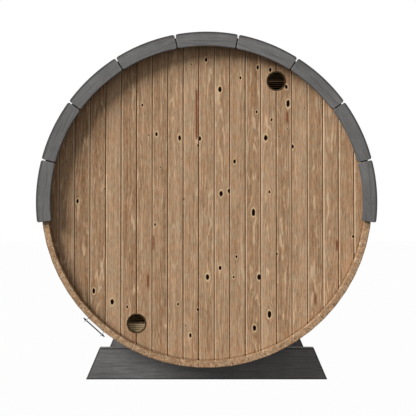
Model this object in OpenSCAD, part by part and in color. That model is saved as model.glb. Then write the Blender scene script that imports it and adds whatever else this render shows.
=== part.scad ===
// Barrel sauna: a stave barrel on two cradles, with boarded ends, a shingled crown and arched trim.
// Millimetres, +Z up, barrel axis along Y, rear end at -Y, origin on the ground under the middle.

/* [Barrel] */
// Distance across the outer flats of the staves
barrel_d = 1990; // [1800:10:2200]
// Length of the staves
barrel_len = 1800; // [1500:10:2400]
// Height of the lowest stave above the ground
ground_gap = 121; // [95:1:150]
// Clearance where one piece seats on another
fit = 0.3; // [0.2:0.05:0.5]
// Gap between two staves or two boards
joint_gap = 0.4; // [0.3:0.05:0.6]

/* [Staves] */
// Number of staves, in four equal quarters
stave_n = 60; // [52:4:68]
// Thickness of a stave
stave_t = 36; // [32:1:45]
// Radius of the bead along one edge
bead_r = 8; // [5:0.5:10]
// Depth of the groove that holds an end wall
croze_depth = 12; // [8:1:16]

/* [End walls] */
// Thickness of the wall boards
wall_t = 38; // [30:1:45]
// Distance of a wall from the stave ends
recess = 52; // [46:1:120]
// Cover width of a wall board
board_w = 94.4; // [84:0.1:104]
// Chamfer along the board edges
board_chamfer = 5; // [1:0.5:6]
// Length of a board's tongue
tongue = 8; // [5:0.5:12]
// Thickness of a board's tongue
tongue_t = 9; // [6:0.5:12]

/* [Vents] */
// Diameter of the vent holes
vent_d = 121; // [90:1:130]
// Wall left between a vent and the staves
vent_margin = 48; // [34:1:60]
// Whole boards between the middle board and the vent's seam
vent_seam_n = 4; // [3:1:5]
// Width of the grille's ring
grille_ring = 9; // [6:0.5:14]
// Depth of the grille
grille_depth = 16; // [10:1:24]
// Distance of the grille behind the wall's face
grille_set = 3; // [0:0.5:8]
// Distance from one grille bar to the next
bar_pitch = 12.5; // [9:0.5:18]
// Thickness of the thin bars
bar_t = 2; // [1.5:0.1:4]
// Depth of the bars
bar_depth = 4; // [3:0.5:7]
// Thickness of the middle bar
mid_bar_t = 6; // [4:0.5:9]
// Thickness of a vent slide
slide_t = 12; // [8:1:18]
// Height of a vent slide
slide_h = 64; // [50:1:70]
// Distance that a slide overlaps the wall beside its vent
slide_lap = 10; // [8:1:16]
// Distance of an open slide from its vent
slide_clear = 3.5; // [2:0.5:8]
// Width of a slide's runner
runner_w = 18; // [12:1:24]
// Lip of a runner over its slide
runner_lip = 6; // [4:0.5:8]
// Run of a slide beyond its own height
slide_run = 68; // [64:1:76]
// Length that a runner stops short of its slide beside the staves
runner_short = 20; // [10:1:30]

/* [Roof] */
// Angle that the roof and its trim cover
roof_angle = 194.4; // [170:0.1:200]
// Courses of shingles on each side
course_n = 12; // [9:1:15]
// Thickness of a course at its lower edge
shingle_butt = 8; // [6:0.5:12]
// Thickness of a course at its upper edge
shingle_head = 4; // [3:0.5:6]
// Half of the ridge strip's angle
ridge_angle = 4; // [3:0.5:6]

/* [Trim] */
// Pieces of trim in one arch
trim_n = 9; // [7:2:11]
// Radial width of the trim
trim_w = 87; // [70:1:110]
// Thickness of the trim
trim_t = 21; // [15:1:30]
// Height of the trim above the roof
trim_proud = 18; // [12:1:35]
// Gap between two pieces of trim
trim_gap = 6; // [3:0.5:10]
// Radius of the trim's corners
trim_corner = 12; // [6:1:18]

/* [Hoops] */
// Width of a hoop
band_w = 25; // [18:1:35]
// Thickness of a hoop
band_t = 1; // [0.8:0.1:2]
// Distance of the outer hoops from the stave ends
hoop_end_gap = 119; // [100:1:160]
// Angle of the tightener from the bottom
tight_angle = 42; // [30:1:60]
// Distance between the lugs
lug_span = 124; // [100:1:150]
// Height of a lug above its hoop
lug_h = 52; // [46:1:60]
// Thickness of a lug
lug_t = 4; // [3:0.5:6]
// Diameter of the tightener bolt
bolt_d = 8; // [6:1:10]
// Length of the tightener bolt
bolt_len = 173; // [165:1:200]
// Clearance of the bolt in its lugs
bolt_slack = 1; // [0.5:0.1:1.5]
// Height of the bolt above the staves
bolt_rise = 39; // [34:0.5:44]

/* [Cradles] */
// Width of a cradle on the ground
cradle_w = 1525; // [1400:1:1650]
// Height of the cradle plank
cradle_h = 199; // [170:1:230]
// Inward lean of the cradle's ends per unit of height
cradle_lean = 0.428; // [0.3:0.002:0.5]
// Thickness of a cradle
cradle_t = 60; // [45:1:90]
// Distance of a cradle's middle from the stave ends
cradle_inset = 300; // [270:5:400]

/* [Door] */
// Boards left out for the door on each side of the middle board
door_side_n = 3; // [2:1:4]
// Wall kept over the door's corners
over_door = 60; // [40:1:120]
// Wall kept under the door's corners
under_door = 100; // [60:1:160]
// Thickness of the door frame
jamb_t = 32; // [25:1:45]
// Distance that the door frame stands out of the wall
jamb_proud = 12; // [6:1:20]
// Gap round the door leaf
door_gap = 3; // [2:0.5:5]
// Thickness of the door leaf
leaf_t = 38; // [30:1:45]
// Thickness of a door ledge
ledge_t = 22; // [16:1:30]
// Height of a door ledge
ledge_h = 90; // [70:1:120]
// Length of the door pull
pull_len = 320; // [220:5:450]
// Width of the door pull
pull_w = 30; // [24:1:40]
// Depth of the door pull
pull_t = 22; // [18:1:30]
// Finger room behind the door pull
pull_gap = 37; // [35:1:50]
// Distance of the pull's middle from the leaf's edge
pull_inset = 85; // [60:1:120]
// Distance of the pull's posts from its ends
post_inset = 24; // [15:1:40]
// Distance of the ledges from the leaf's edges
ledge_inset = 40; // [30:1:60]
// Thickness of a hinge
hinge_t = 4; // [3:0.5:6]
// Height of a hinge's frame plate
hinge_h = 46; // [36:1:60]
// Length of a hinge's strap
hinge_reach = 190; // [140:5:240]
// Width of a hinge's frame plate
hinge_plate = 28; // [20:1:30]
// Diameter of a hinge's knuckle
knuckle_d = 12; // [10:0.5:16]

/* [Hidden] */
$fn = 96;
ring_fn = 720;

// How far a cut reaches past the surface that it opens
past = 1;

half_len = barrel_len / 2;
stave_out = barrel_d / 2;
stave_in = stave_out - stave_t;
stave_half = 180 / stave_n;
stave_corner = stave_out / cos(stave_half);
axis_z = ground_gap + stave_out;
edge_z = (stave_out + stave_in) / 2;
edge_x = edge_z * tan(stave_half);
quarter = stave_n / 4;
croze_r = stave_in + croze_depth;

wall_r = croze_r - fit;
wall_face = half_len - recess;
wall_back = wall_face - wall_t;
wall_low = axis_z - wall_r - past;
wall_high = axis_z + wall_r + past;
board_half = board_w / 2 - joint_gap / 2;
board_last = ceil((stave_in - board_w / 2) / board_w);

vent_r = vent_d / 2;
vent_orbit = stave_in - vent_margin - vent_r;
vent_x = (vent_seam_n + 0.5) * board_w;
vent_z = sqrt(vent_orbit * vent_orbit - vent_x * vent_x);
grille_r = vent_r - fit;
slide_w = vent_d + 2 * slide_lap;
runner_len = 2 * slide_h + slide_run - runner_short;

hoop_in = stave_corner + fit;
hoop_out = hoop_in + band_t;
lug_tilt = asin(lug_span / 2 / hoop_in);
bolt_orbit = stave_out + bolt_rise;
nut_w = bolt_d * 1.6;
nut_t = bolt_d * 0.8;
nut_corner = nut_w / cos(30);

roof_in = hoop_out + fit;
eave = roof_angle / 2 - 1;
course_sweep = (eave - ridge_angle) / course_n;
course_gap = 0.03;
trim_out = roof_in + shingle_butt + trim_proud;
trim_in = trim_out - trim_w;
trim_pitch = roof_angle / trim_n;

saddle_r = stave_corner + fit;
cradle_y = half_len - cradle_inset;

open_half = (door_side_n + 0.5) * board_w;
open_reach = sqrt(stave_in * stave_in - open_half * open_half);
open_top = axis_z + open_reach - over_door;
open_low = axis_z - open_reach + under_door;
frame_x = open_half - fit;
leaf_half = frame_x - jamb_t - door_gap;
leaf_top = open_top - fit - jamb_t - door_gap;
leaf_low = open_low + fit + jamb_t + door_gap;
leaf_n = round(2 * leaf_half / board_w);
leaf_w = 2 * leaf_half / leaf_n;
leaf_face = wall_face + jamb_proud - fit;
leaf_back = leaf_face - leaf_t;
ledge_places = [0.1, 0.5, 0.9];
hinge_places = [0.14, 0.86];

wood = [0.66, 0.53, 0.41];
grey = [0.42, 0.42, 0.41];
dark = [0.16, 0.15, 0.15];
brown = [0.22, 0.15, 0.11];
steel = [0.62, 0.63, 0.64];

function on_arc(r, a) = [r * sin(a), r * cos(a)];
function arc(r, a0, a1, n) = [for (k = [0 : n]) on_arc(r, a0 + (a1 - a0) * k / n)];
function mirrored(p) = [for (k = [len(p) - 1 : -1 : 0]) [-p[k][0], p[k][1]]];

// A flat outline in X and Z, carried along the barrel
module along(y0, y1) {
    translate([0, y1, 0]) rotate([90, 0, 0]) linear_extrude(y1 - y0) children();
}

// A disc across the barrel
module disc(r, y0, y1, x = 0, z = axis_z) {
    translate([x, y1, z]) rotate([90, 0, 0]) cylinder(r = r, h = y1 - y0, $fn = r > vent_d ? ring_fn : $fn);
}

// A box from its low corner to its high corner
module box(lo, hi) {
    translate(lo) cube(hi - lo);
}

// Turn about the barrel's axis, from the top towards +X
module turned(a) {
    translate([0, 0, axis_z]) rotate([0, a, 0]) children();
}

module stave_outline() {
    slack = joint_gap / 2 / cos(stave_half);
    low = stave_in * tan(stave_half) - slack;
    high = stave_out * tan(stave_half) - slack;
    difference() {
        union() {
            polygon([[-low, stave_in], [low, stave_in], [high, stave_out], [-high, stave_out]]);
            translate([edge_x, edge_z]) circle(bead_r);
        }
        translate([-edge_x, edge_z]) circle(bead_r + joint_gap);
    }
}

module stave(k) {
    turned(k * 2 * stave_half) difference() {
        along(-half_len, half_len) stave_outline();
        disc(croze_r, wall_back - fit, wall_face + fit, 0, 0);
        disc(croze_r, -wall_face - fit, -wall_back + fit, 0, 0);
    }
}

module staves(g) {
    first = g * quarter - floor(quarter / 2);
    color(wood) for (k = [first : first + quarter - 1]) stave(k);
}

module staves_top() { staves(0); }
module staves_right() { staves(1); }
module staves_bottom() { staves(2); }
module staves_left() { staves(3); }

// A hoop and its lugs: one strip, open at the tightener and turned up at both ends
module hoop_outline() {
    mid = 180 + tight_angle;
    reach = hoop_out + lug_h;
    difference() {
        circle(hoop_out, $fn = ring_fn);
        circle(hoop_in, $fn = ring_fn);
        polygon([[0, 0], on_arc(reach, mid - lug_tilt), on_arc(reach, mid), on_arc(reach, mid + lug_tilt)]);
    }
    for (side = [-1, 1]) rotate(-mid - side * lug_tilt)
        translate([-lug_t / 2, hoop_in + band_t / 2]) square([lug_t, lug_h - band_t / 2]);
}

module hoop(y) {
    color(steel) translate([0, y, 0]) difference() {
        translate([0, 0, axis_z]) along(-band_w / 2, band_w / 2) hoop_outline();
        turned(180 + tight_angle) translate([0, 0, bolt_orbit]) rotate([0, 90, 0])
            cylinder(d = bolt_d + bolt_slack, h = bolt_len, center = true);
    }
}

module rear_hoop() { hoop(-half_len + hoop_end_gap); }
module middle_hoop() { hoop(0); }
module front_hoop() { hoop(half_len - hoop_end_gap); }

module nut() {
    rotate([0, 90, 0]) cylinder(d = nut_corner, h = nut_t, $fn = 6);
}

module hoop_bolt(y) {
    nut_x = (bolt_orbit + nut_corner / 2) * tan(lug_tilt) + lug_t / 2 + fit;
    color(dark) translate([0, y, 0]) turned(180 + tight_angle) translate([0, 0, bolt_orbit]) {
        translate([-bolt_len / 2, 0, 0]) rotate([0, 90, 0]) cylinder(d = bolt_d, h = bolt_len);
        translate([nut_x, 0, 0]) nut();
        translate([-nut_x - nut_t, 0, 0]) nut();
    }
}

module rear_hoop_bolt() { hoop_bolt(-half_len + hoop_end_gap); }
module middle_hoop_bolt() { hoop_bolt(0); }
module front_hoop_bolt() { hoop_bolt(half_len - hoop_end_gap); }

// A board in plan: tongue at +X, groove at -X, chamfered edges
module board_plan(half) {
    c = board_chamfer;
    mid = (wall_t - tongue_t) / 2;
    difference() {
        union() {
            polygon([
                [-half, c], [-half + c, 0], [half - c, 0], [half, c],
                [half, wall_t - c], [half - c, wall_t], [-half + c, wall_t], [-half, wall_t - c]
            ]);
            translate([half - past, mid]) square([tongue + past, tongue_t]);
        }
        translate([-half - past, mid - fit]) square([tongue + past + fit, tongue_t + 2 * fit]);
    }
}

// Wall boards from one place to another, between two heights, less the child shapes
module wall_boards(first, last, y, low, high) {
    color(wood) for (k = [first : last]) difference() {
        intersection() {
            translate([k * board_w, y, low]) linear_extrude(high - low) board_plan(board_half);
            disc(wall_r, y - past, y + wall_t + past);
        }
        children();
    }
}

module rear_boards(first, last) {
    wall_boards(first, last, -wall_face, wall_low, wall_high) {
        disc(vent_r, -wall_face - past, -wall_back + past, vent_x, axis_z + vent_z);
        disc(vent_r, -wall_face - past, -wall_back + past, -vent_x, axis_z - vent_z);
    }
}

module front_boards(first, last) {
    wall_boards(first, last, wall_back, wall_low, wall_high)
        box([-open_half, wall_back - past, open_low], [open_half, wall_face + past, open_top]);
}

module rear_wall_left() { rear_boards(-board_last, -door_side_n - 1); }
module rear_wall_middle() { rear_boards(-door_side_n, door_side_n); }
module rear_wall_right() { rear_boards(door_side_n + 1, board_last); }

module vent_grille(x, z) {
    y0 = -wall_face + grille_set;
    y1 = y0 + grille_depth;
    inner = grille_r - grille_ring;
    bars = floor((inner - bar_t) / bar_pitch);
    color(brown) {
        difference() {
            disc(grille_r, y0, y1, x, z);
            disc(inner, y0 - past, y1 + past, x, z);
        }
        intersection() {
            disc(inner + grille_ring / 2, y0 + bar_t, y0 + bar_t + bar_depth, x, z);
            union() {
                for (k = [-bars : bars]) {
                    t = k == 0 ? mid_bar_t : bar_t;
                    translate([x - grille_r, y0, z + k * bar_pitch - t / 2])
                        cube([2 * grille_r, grille_depth, t]);
                }
            }
        }
    }
}

module upper_vent_grille() { vent_grille(vent_x, axis_z + vent_z); }
module lower_vent_grille() { vent_grille(-vent_x, axis_z - vent_z); }

module runner_plan(side) {
    deep = slide_t + 2 * fit;
    square([runner_w, deep + runner_lip]);
    translate([side > 0 ? -runner_lip - fit : 0, deep]) square([runner_w + runner_lip + fit, runner_lip]);
}

// A wooden slide on the inside of a vent, with a runner at each side
module vent_slide(x, slide_top, runner_low) {
    y = -wall_back + fit;
    color(wood) {
        box([x - slide_w / 2, y, slide_top - slide_h], [x + slide_w / 2, y + slide_t, slide_top]);
        translate([x + slide_w / 2 + fit, y, runner_low]) linear_extrude(runner_len) runner_plan(1);
        translate([x - slide_w / 2 - fit - runner_w, y, runner_low])
            linear_extrude(runner_len) runner_plan(-1);
    }
}

module upper_vent_slide() {
    z = axis_z + vent_z;
    vent_slide(vent_x, z - vent_r - slide_clear, z - slide_h - slide_run);
}

module lower_vent_slide() {
    z = axis_z - vent_z;
    vent_slide(-vent_x, z, z - slide_h + runner_short);
}

module front_wall_left() { front_boards(-board_last, -door_side_n - 1); }
module front_wall_right() { front_boards(door_side_n + 1, board_last); }
module front_wall_over_door() { wall_boards(-door_side_n, door_side_n, wall_back, open_top, wall_high); }
module front_wall_under_door() { wall_boards(-door_side_n, door_side_n, wall_back, wall_low, open_low); }

module door_jambs() {
    low = open_low + 2 * fit + jamb_t;
    high = open_top - 2 * fit - jamb_t;
    color(wood) for (s = [-1, 1]) translate([s * (frame_x - jamb_t / 2), 0, 0])
        box([-jamb_t / 2, wall_back, low], [jamb_t / 2, wall_face + jamb_proud, high]);
}

module door_head() {
    high = open_top - fit;
    color(wood) box([-frame_x, wall_back, high - jamb_t], [frame_x, wall_face + jamb_proud, high]);
}

module door_sill() {
    low = open_low + fit;
    color(wood) box([-frame_x, wall_back, low], [frame_x, wall_face + jamb_proud, low + jamb_t]);
}

module door_boards() {
    c = board_chamfer;
    half = leaf_w / 2 - joint_gap / 2;
    color(wood) for (k = [0 : leaf_n - 1])
        translate([-leaf_half + (k + 0.5) * leaf_w, leaf_back, leaf_low])
            linear_extrude(leaf_top - leaf_low) polygon([
                [-half, c], [-half + c, 0], [half - c, 0], [half, c],
                [half, leaf_t - c], [half - c, leaf_t], [-half + c, leaf_t], [-half, leaf_t - c]
            ]);
}

module door_ledges() {
    span = leaf_top - leaf_low;
    color(wood) for (f = ledge_places)
        translate([0, leaf_back - fit - ledge_t, leaf_low + f * span - ledge_h / 2])
            box([-leaf_half + ledge_inset, 0, 0], [leaf_half - ledge_inset, ledge_t, ledge_h]);
}

module door_hinges() {
    span = leaf_top - leaf_low;
    face = wall_face + jamb_proud + fit;
    pin_x = leaf_half + door_gap / 2;
    color(dark) for (f = hinge_places) translate([0, face, leaf_low + f * span - hinge_h / 2]) {
        box([pin_x - hinge_reach, 0, hinge_t], [pin_x, hinge_t, hinge_h - hinge_t]);
        box([pin_x, 0, 0], [pin_x + hinge_plate, hinge_t, hinge_h]);
        translate([pin_x, knuckle_d / 2 + fit, 0]) cylinder(d = knuckle_d, h = hinge_h);
    }
}

module door_pull() {
    mid = (leaf_top + leaf_low) / 2;
    x = -leaf_half + pull_inset;
    face = leaf_face + fit;
    color(wood) translate([x - pull_w / 2, face, mid - pull_len / 2]) {
        box([0, pull_gap + fit, 0], [pull_w, pull_gap + fit + pull_t, pull_len]);
        box([0, 0, post_inset], [pull_w, pull_gap, post_inset + pull_w]);
        box([0, 0, pull_len - post_inset - pull_w], [pull_w, pull_gap, pull_len - post_inset]);
    }
}

// One course of shingles, thick at its lower edge
module course(k, side) {
    a0 = eave - k * course_sweep;
    a1 = a0 - course_sweep + course_gap;
    steps = 5;
    thick = [for (i = [0 : steps]) shingle_butt + (shingle_head - shingle_butt) * i / steps];
    inner = [for (i = [steps : -1 : 0]) on_arc(roof_in, side * (a0 + (a1 - a0) * i / steps))];
    outer = [for (i = [0 : steps]) on_arc(roof_in + thick[i], side * (a0 + (a1 - a0) * i / steps))];
    color(dark) translate([0, 0, axis_z]) along(-half_len, half_len) polygon(concat(inner, outer));
}

module shingles_left() { for (k = [0 : course_n - 1]) course(k, -1); }
module shingles_right() { for (k = [0 : course_n - 1]) course(k, 1); }

module ridge_strip() {
    a = ridge_angle - course_gap;
    color(dark) translate([0, 0, axis_z]) along(-half_len, half_len)
        polygon(concat(arc(roof_in, -a, a, 6), arc(roof_in + shingle_butt, a, -a, 6)));
}

// Half of a trim piece's outline, from the middle of its outer edge round to its inner edge
function trim_side() = let (
    h = trim_pitch / 2,
    ro = trim_out - trim_corner,
    ri = trim_in + trim_corner,
    ao = h - asin((trim_corner + trim_gap / 2) / ro),
    ai = h - asin((trim_corner + trim_gap / 2) / ri)
) concat(
    arc(trim_out, 0, ao, 7),
    [for (k = [1 : 4]) on_arc(ro, ao) + on_arc(trim_corner, ao + (h + 90 - ao) * k / 4)],
    [for (k = [0 : 3]) on_arc(ri, ai) + on_arc(trim_corner, h + 90 + (ai + 90 - h) * k / 4)],
    arc(trim_in, ai, 0, 7)
);

module trim(y0) {
    right = trim_side();
    last = len(right) - 2;
    left = mirrored([for (k = [1 : last]) right[k]]);
    color(grey) for (k = [0 : trim_n - 1])
        turned((k - (trim_n - 1) / 2) * trim_pitch) along(y0, y0 + trim_t) polygon(concat(right, left));
}

module rear_trim() { trim(-half_len - fit - trim_t); }
module front_trim() { trim(half_len + fit); }

module cradle(y) {
    top = cradle_w / 2 - cradle_h * cradle_lean;
    color(grey) along(y - cradle_t / 2, y + cradle_t / 2) difference() {
        polygon([[-cradle_w / 2, 0], [cradle_w / 2, 0], [top, cradle_h], [-top, cradle_h]]);
        translate([0, axis_z]) circle(saddle_r, $fn = ring_fn);
    }
}

module rear_cradle() { cradle(-cradle_y); }
module front_cradle() { cradle(cradle_y); }

staves_top();
staves_right();
staves_bottom();
staves_left();
rear_hoop();
middle_hoop();
front_hoop();
rear_hoop_bolt();
middle_hoop_bolt();
front_hoop_bolt();
rear_wall_left();
rear_wall_middle();
rear_wall_right();
upper_vent_grille();
lower_vent_grille();
upper_vent_slide();
lower_vent_slide();
front_wall_left();
front_wall_right();
front_wall_over_door();
front_wall_under_door();
door_jambs();
door_head();
door_sill();
door_boards();
door_ledges();
door_hinges();
door_pull();
shingles_left();
shingles_right();
ridge_strip();
rear_trim();
front_trim();
rear_cradle();
front_cradle();
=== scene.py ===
"""Barrel sauna: boards, staves, trim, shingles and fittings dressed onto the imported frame."""

import logging
import math
import random
from dataclasses import dataclass, field, replace
from enum import Enum
from typing import Any, Callable, Sequence

import bmesh
import bpy
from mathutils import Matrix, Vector


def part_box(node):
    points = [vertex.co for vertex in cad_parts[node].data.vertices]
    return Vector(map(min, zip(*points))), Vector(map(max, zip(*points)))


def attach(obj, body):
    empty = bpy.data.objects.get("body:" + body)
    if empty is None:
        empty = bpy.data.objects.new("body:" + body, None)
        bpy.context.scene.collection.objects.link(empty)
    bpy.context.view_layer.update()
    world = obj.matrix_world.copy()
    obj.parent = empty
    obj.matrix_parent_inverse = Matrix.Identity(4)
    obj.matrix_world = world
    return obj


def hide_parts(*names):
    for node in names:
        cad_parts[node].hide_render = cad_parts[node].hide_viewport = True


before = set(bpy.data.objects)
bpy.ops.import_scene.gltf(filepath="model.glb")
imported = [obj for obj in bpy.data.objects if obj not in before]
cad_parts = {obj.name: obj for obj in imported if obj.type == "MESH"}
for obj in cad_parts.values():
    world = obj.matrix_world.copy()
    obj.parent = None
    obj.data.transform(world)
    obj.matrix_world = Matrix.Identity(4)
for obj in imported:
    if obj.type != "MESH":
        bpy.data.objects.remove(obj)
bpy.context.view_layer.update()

LOG = logging.getLogger("barrel_sauna")
BODY = "root"
MM = 0.001
KNOT_SLOTS = 7
KNOTS_PER_METRE = (0.8, 2.6)
KNOT_ASIDE = 0.8
NO_MARK = (0.0, 0.0, 0.0)
BARREL_AXIS = Vector((0, 1, 0))
SHARP = math.radians(21)
ROUNDING = {"segments": 2, "profile": 0.5, "affect": "EDGES", "clamp_overlap": True}

MATH = "ShaderNodeMath"
MIX = "ShaderNodeMix"
NOISE = "ShaderNodeTexNoise"
RANGE = "ShaderNodeMapRange"
ATTRIBUTE = "ShaderNodeAttribute"
VECTOR = "ShaderNodeVectorMath"
STORE = "GeometryNodeStoreNamedAttribute"
RANDOM = "FunctionNodeRandomValue"
JOIN = "ShaderNodeCombineXYZ"
SPLIT = "ShaderNodeSeparateXYZ"
# Settings that many nodes share
TIMES = {"operation": "MULTIPLY"}
PLUS = {"operation": "ADD"}
MINUS = {"operation": "SUBTRACT"}
TIMES_PLUS = {"operation": "MULTIPLY_ADD"}
OVER = {"operation": "DIVIDE"}
UNSIGNED = {"operation": "ABSOLUTE"}
LARGER = {"operation": "MAXIMUM"}
SMALLER = {"operation": "MINIMUM"}
IS_ABOVE = {"operation": "GREATER_THAN"}
IS_BELOW = {"operation": "LESS_THAN"}
LENGTH = {"operation": "LENGTH", "out": "Value"}
SMOOTH = {"interpolation_type": "SMOOTHSTEP"}
OF_COLOUR = {"out": 2, "data_type": "RGBA"}
SPECULAR = "Specular IOR Level"

Point = tuple[float, float]
Spot = tuple[float, float, float]
Colour = tuple[float, float, float, float]
Tree = bpy.types.NodeTree
Socket = bpy.types.NodeSocket
Material = bpy.types.Material
Piece = bpy.types.Object
Solid = bmesh.types.BMesh


class Slot(Enum):
    """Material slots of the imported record."""

    WOOD = "heat_treated_wood"
    PAINT = "grey_painted_wood"
    SHINGLE = "bitumen_shingle"
    STEEL = "hoop_steel"
    BLACK = "black_steel"
    PLASTIC = "brown_plastic"


class KnotSize(Enum):
    """Half widths of the knots in the boards, in millimetres."""

    TINY = 3.6
    SMALL = 6.0
    MEDIUM = 8.2
    LARGE = 10.6


def linear(code: str) -> Colour:
    """Turn an sRGB hex colour into linear light.

    Args:
        code: Colour as #rrggbb.

    Returns:
        Red, green, blue and an alpha of 1.
    """
    parts = [int(code[i : i + 2], 16) / 255 for i in (1, 3, 5)]
    light = [c / 12.92 if c <= 0.04045 else ((c + 0.055) / 1.055) ** 2.4 for c in parts]
    return (light[0], light[1], light[2], 1.0)


def per_mm(size: float) -> float:
    """Texture scale, per metre, of a pattern of this size in millimetres."""
    return 1000.0 / size


def add(
    tree: Tree, kind: str, links: dict | tuple = (), out: int | str = 0, **settings: Any
) -> Socket | None:
    """Add a node with its settings, inputs and links.

    Args:
        tree: Tree that gets the node.
        kind: Node type.
        links: Socket or value for each input, in order or by name or number.
        out: Output to hand back, by name or number.
        **settings: Properties of the node.

    Returns:
        The chosen output, or None for a node that has none.
    """
    node = tree.nodes.new(kind)
    for name, value in settings.items():
        setattr(node, name, value)
    inputs = links if isinstance(links, dict) else dict(enumerate(links))
    for key, value in inputs.items():
        if isinstance(value, Socket):
            tree.links.new(value, node.inputs[key])
        else:
            node.inputs[key].default_value = value
    return node.outputs[out] if node.outputs else None


def new_material(name: str) -> tuple[Material, Tree]:
    """Make an empty node material.

    Args:
        name: Name of the material.

    Returns:
        The material and its tree.
    """
    material = bpy.data.materials.new(name)
    material.use_nodes = True
    material.node_tree.nodes.clear()
    return material, material.node_tree


def node_group(name: str, kind: str, inputs: dict[str, str], outputs: dict[str, str]) -> Tree:
    """Make a node group with its sockets.

    Args:
        name: Name of the group.
        kind: Type of the tree.
        inputs: Socket type for each input's name.
        outputs: Socket type for each output's name.

    Returns:
        The tree, still without nodes.
    """
    tree = bpy.data.node_groups.new(name, kind)
    for side, sockets in (("INPUT", inputs), ("OUTPUT", outputs)):
        for label, socket in sockets.items():
            tree.interface.new_socket(label, in_out=side, socket_type="NodeSocket" + socket)
    return tree


def blotches(tree: Tree, place: Socket, size_mm: Point, **look: float) -> Socket:
    """Add soft blotches that are drawn out along the grain.

    Args:
        tree: Tree that gets the nodes.
        place: Place across, in and along the plank.
        size_mm: Size across and along the grain.
        **look: Detail and Roughness of the blotches.

    Returns:
        Factor from 0 to 1.
    """
    across, along = per_mm(size_mm[0]), per_mm(size_mm[1])
    scaled = add(tree, VECTOR, (place, (across, across, along)), **TIMES)
    return add(tree, NOISE, {"Vector": scaled, "Scale": 1.0, **look})


def plank_place(tree: Tree, spread: float) -> tuple[Socket, ...]:
    """Read a plank's grain and seed, and shift its figure away from that of the other planks.

    Args:
        tree: Tree that gets the nodes.
        spread: How far apart the planks' figures lie, in metres.

    Returns:
        The grain, the seed, the shift and the shifted grain.
    """
    grain = add(tree, ATTRIBUTE, out="Vector", attribute_name="grain")
    seed = add(tree, ATTRIBUTE, out="Fac", attribute_name="seed")
    shift = add(tree, MATH, (seed, spread), **TIMES)
    apart = add(tree, JOIN, (shift, shift, shift))
    return grain, seed, apart, add(tree, VECTOR, (grain, apart), **PLUS)


def round_axis(tree: Tree, axis_z: float) -> tuple[Any, ...]:
    """Read where a point lies, and how far from the barrel's axis.

    Args:
        tree: Tree that gets the nodes.
        axis_z: Height of the axis.

    Returns:
        The place, its X, Y and Z, and the distance from the axis.
    """
    place = add(tree, "ShaderNodeTexCoord", out="Object")
    at = add(tree, SPLIT, (place,)).node.outputs
    rise = add(tree, MATH, (at[2], axis_z), **MINUS)
    far = add(tree, JOIN, (at[0], rise))
    return place, at, add(tree, VECTOR, (far,), **LENGTH)


def close_material(
    tree: Tree, colour: Socket, wear: Socket, height: Socket, rough: Point, relief: Point, **shine: float
) -> None:
    """End a material with its roughness, relief, shader and output.

    Args:
        tree: Tree that gets the nodes.
        colour: Colour of the surface.
        wear: Factor from its smooth to its rough places.
        height: Height of its relief.
        rough: Roughness of its smooth and its rough places.
        relief: Strength of the relief, and its depth in millimetres.
        **shine: The shader's other sockets.
    """
    rough = add(tree, RANGE, {0: wear, 3: rough[0], 4: rough[1]})
    bump = add(tree, "ShaderNodeBump", {"Height": height, "Strength": relief[0], "Distance": relief[1] * MM})
    finish = {"Base Color": colour, "Roughness": rough, "Normal": bump, **shine}
    surface = add(tree, "ShaderNodeBsdfPrincipled", finish)
    add(tree, "ShaderNodeOutputMaterial", {"Surface": surface})


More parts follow.
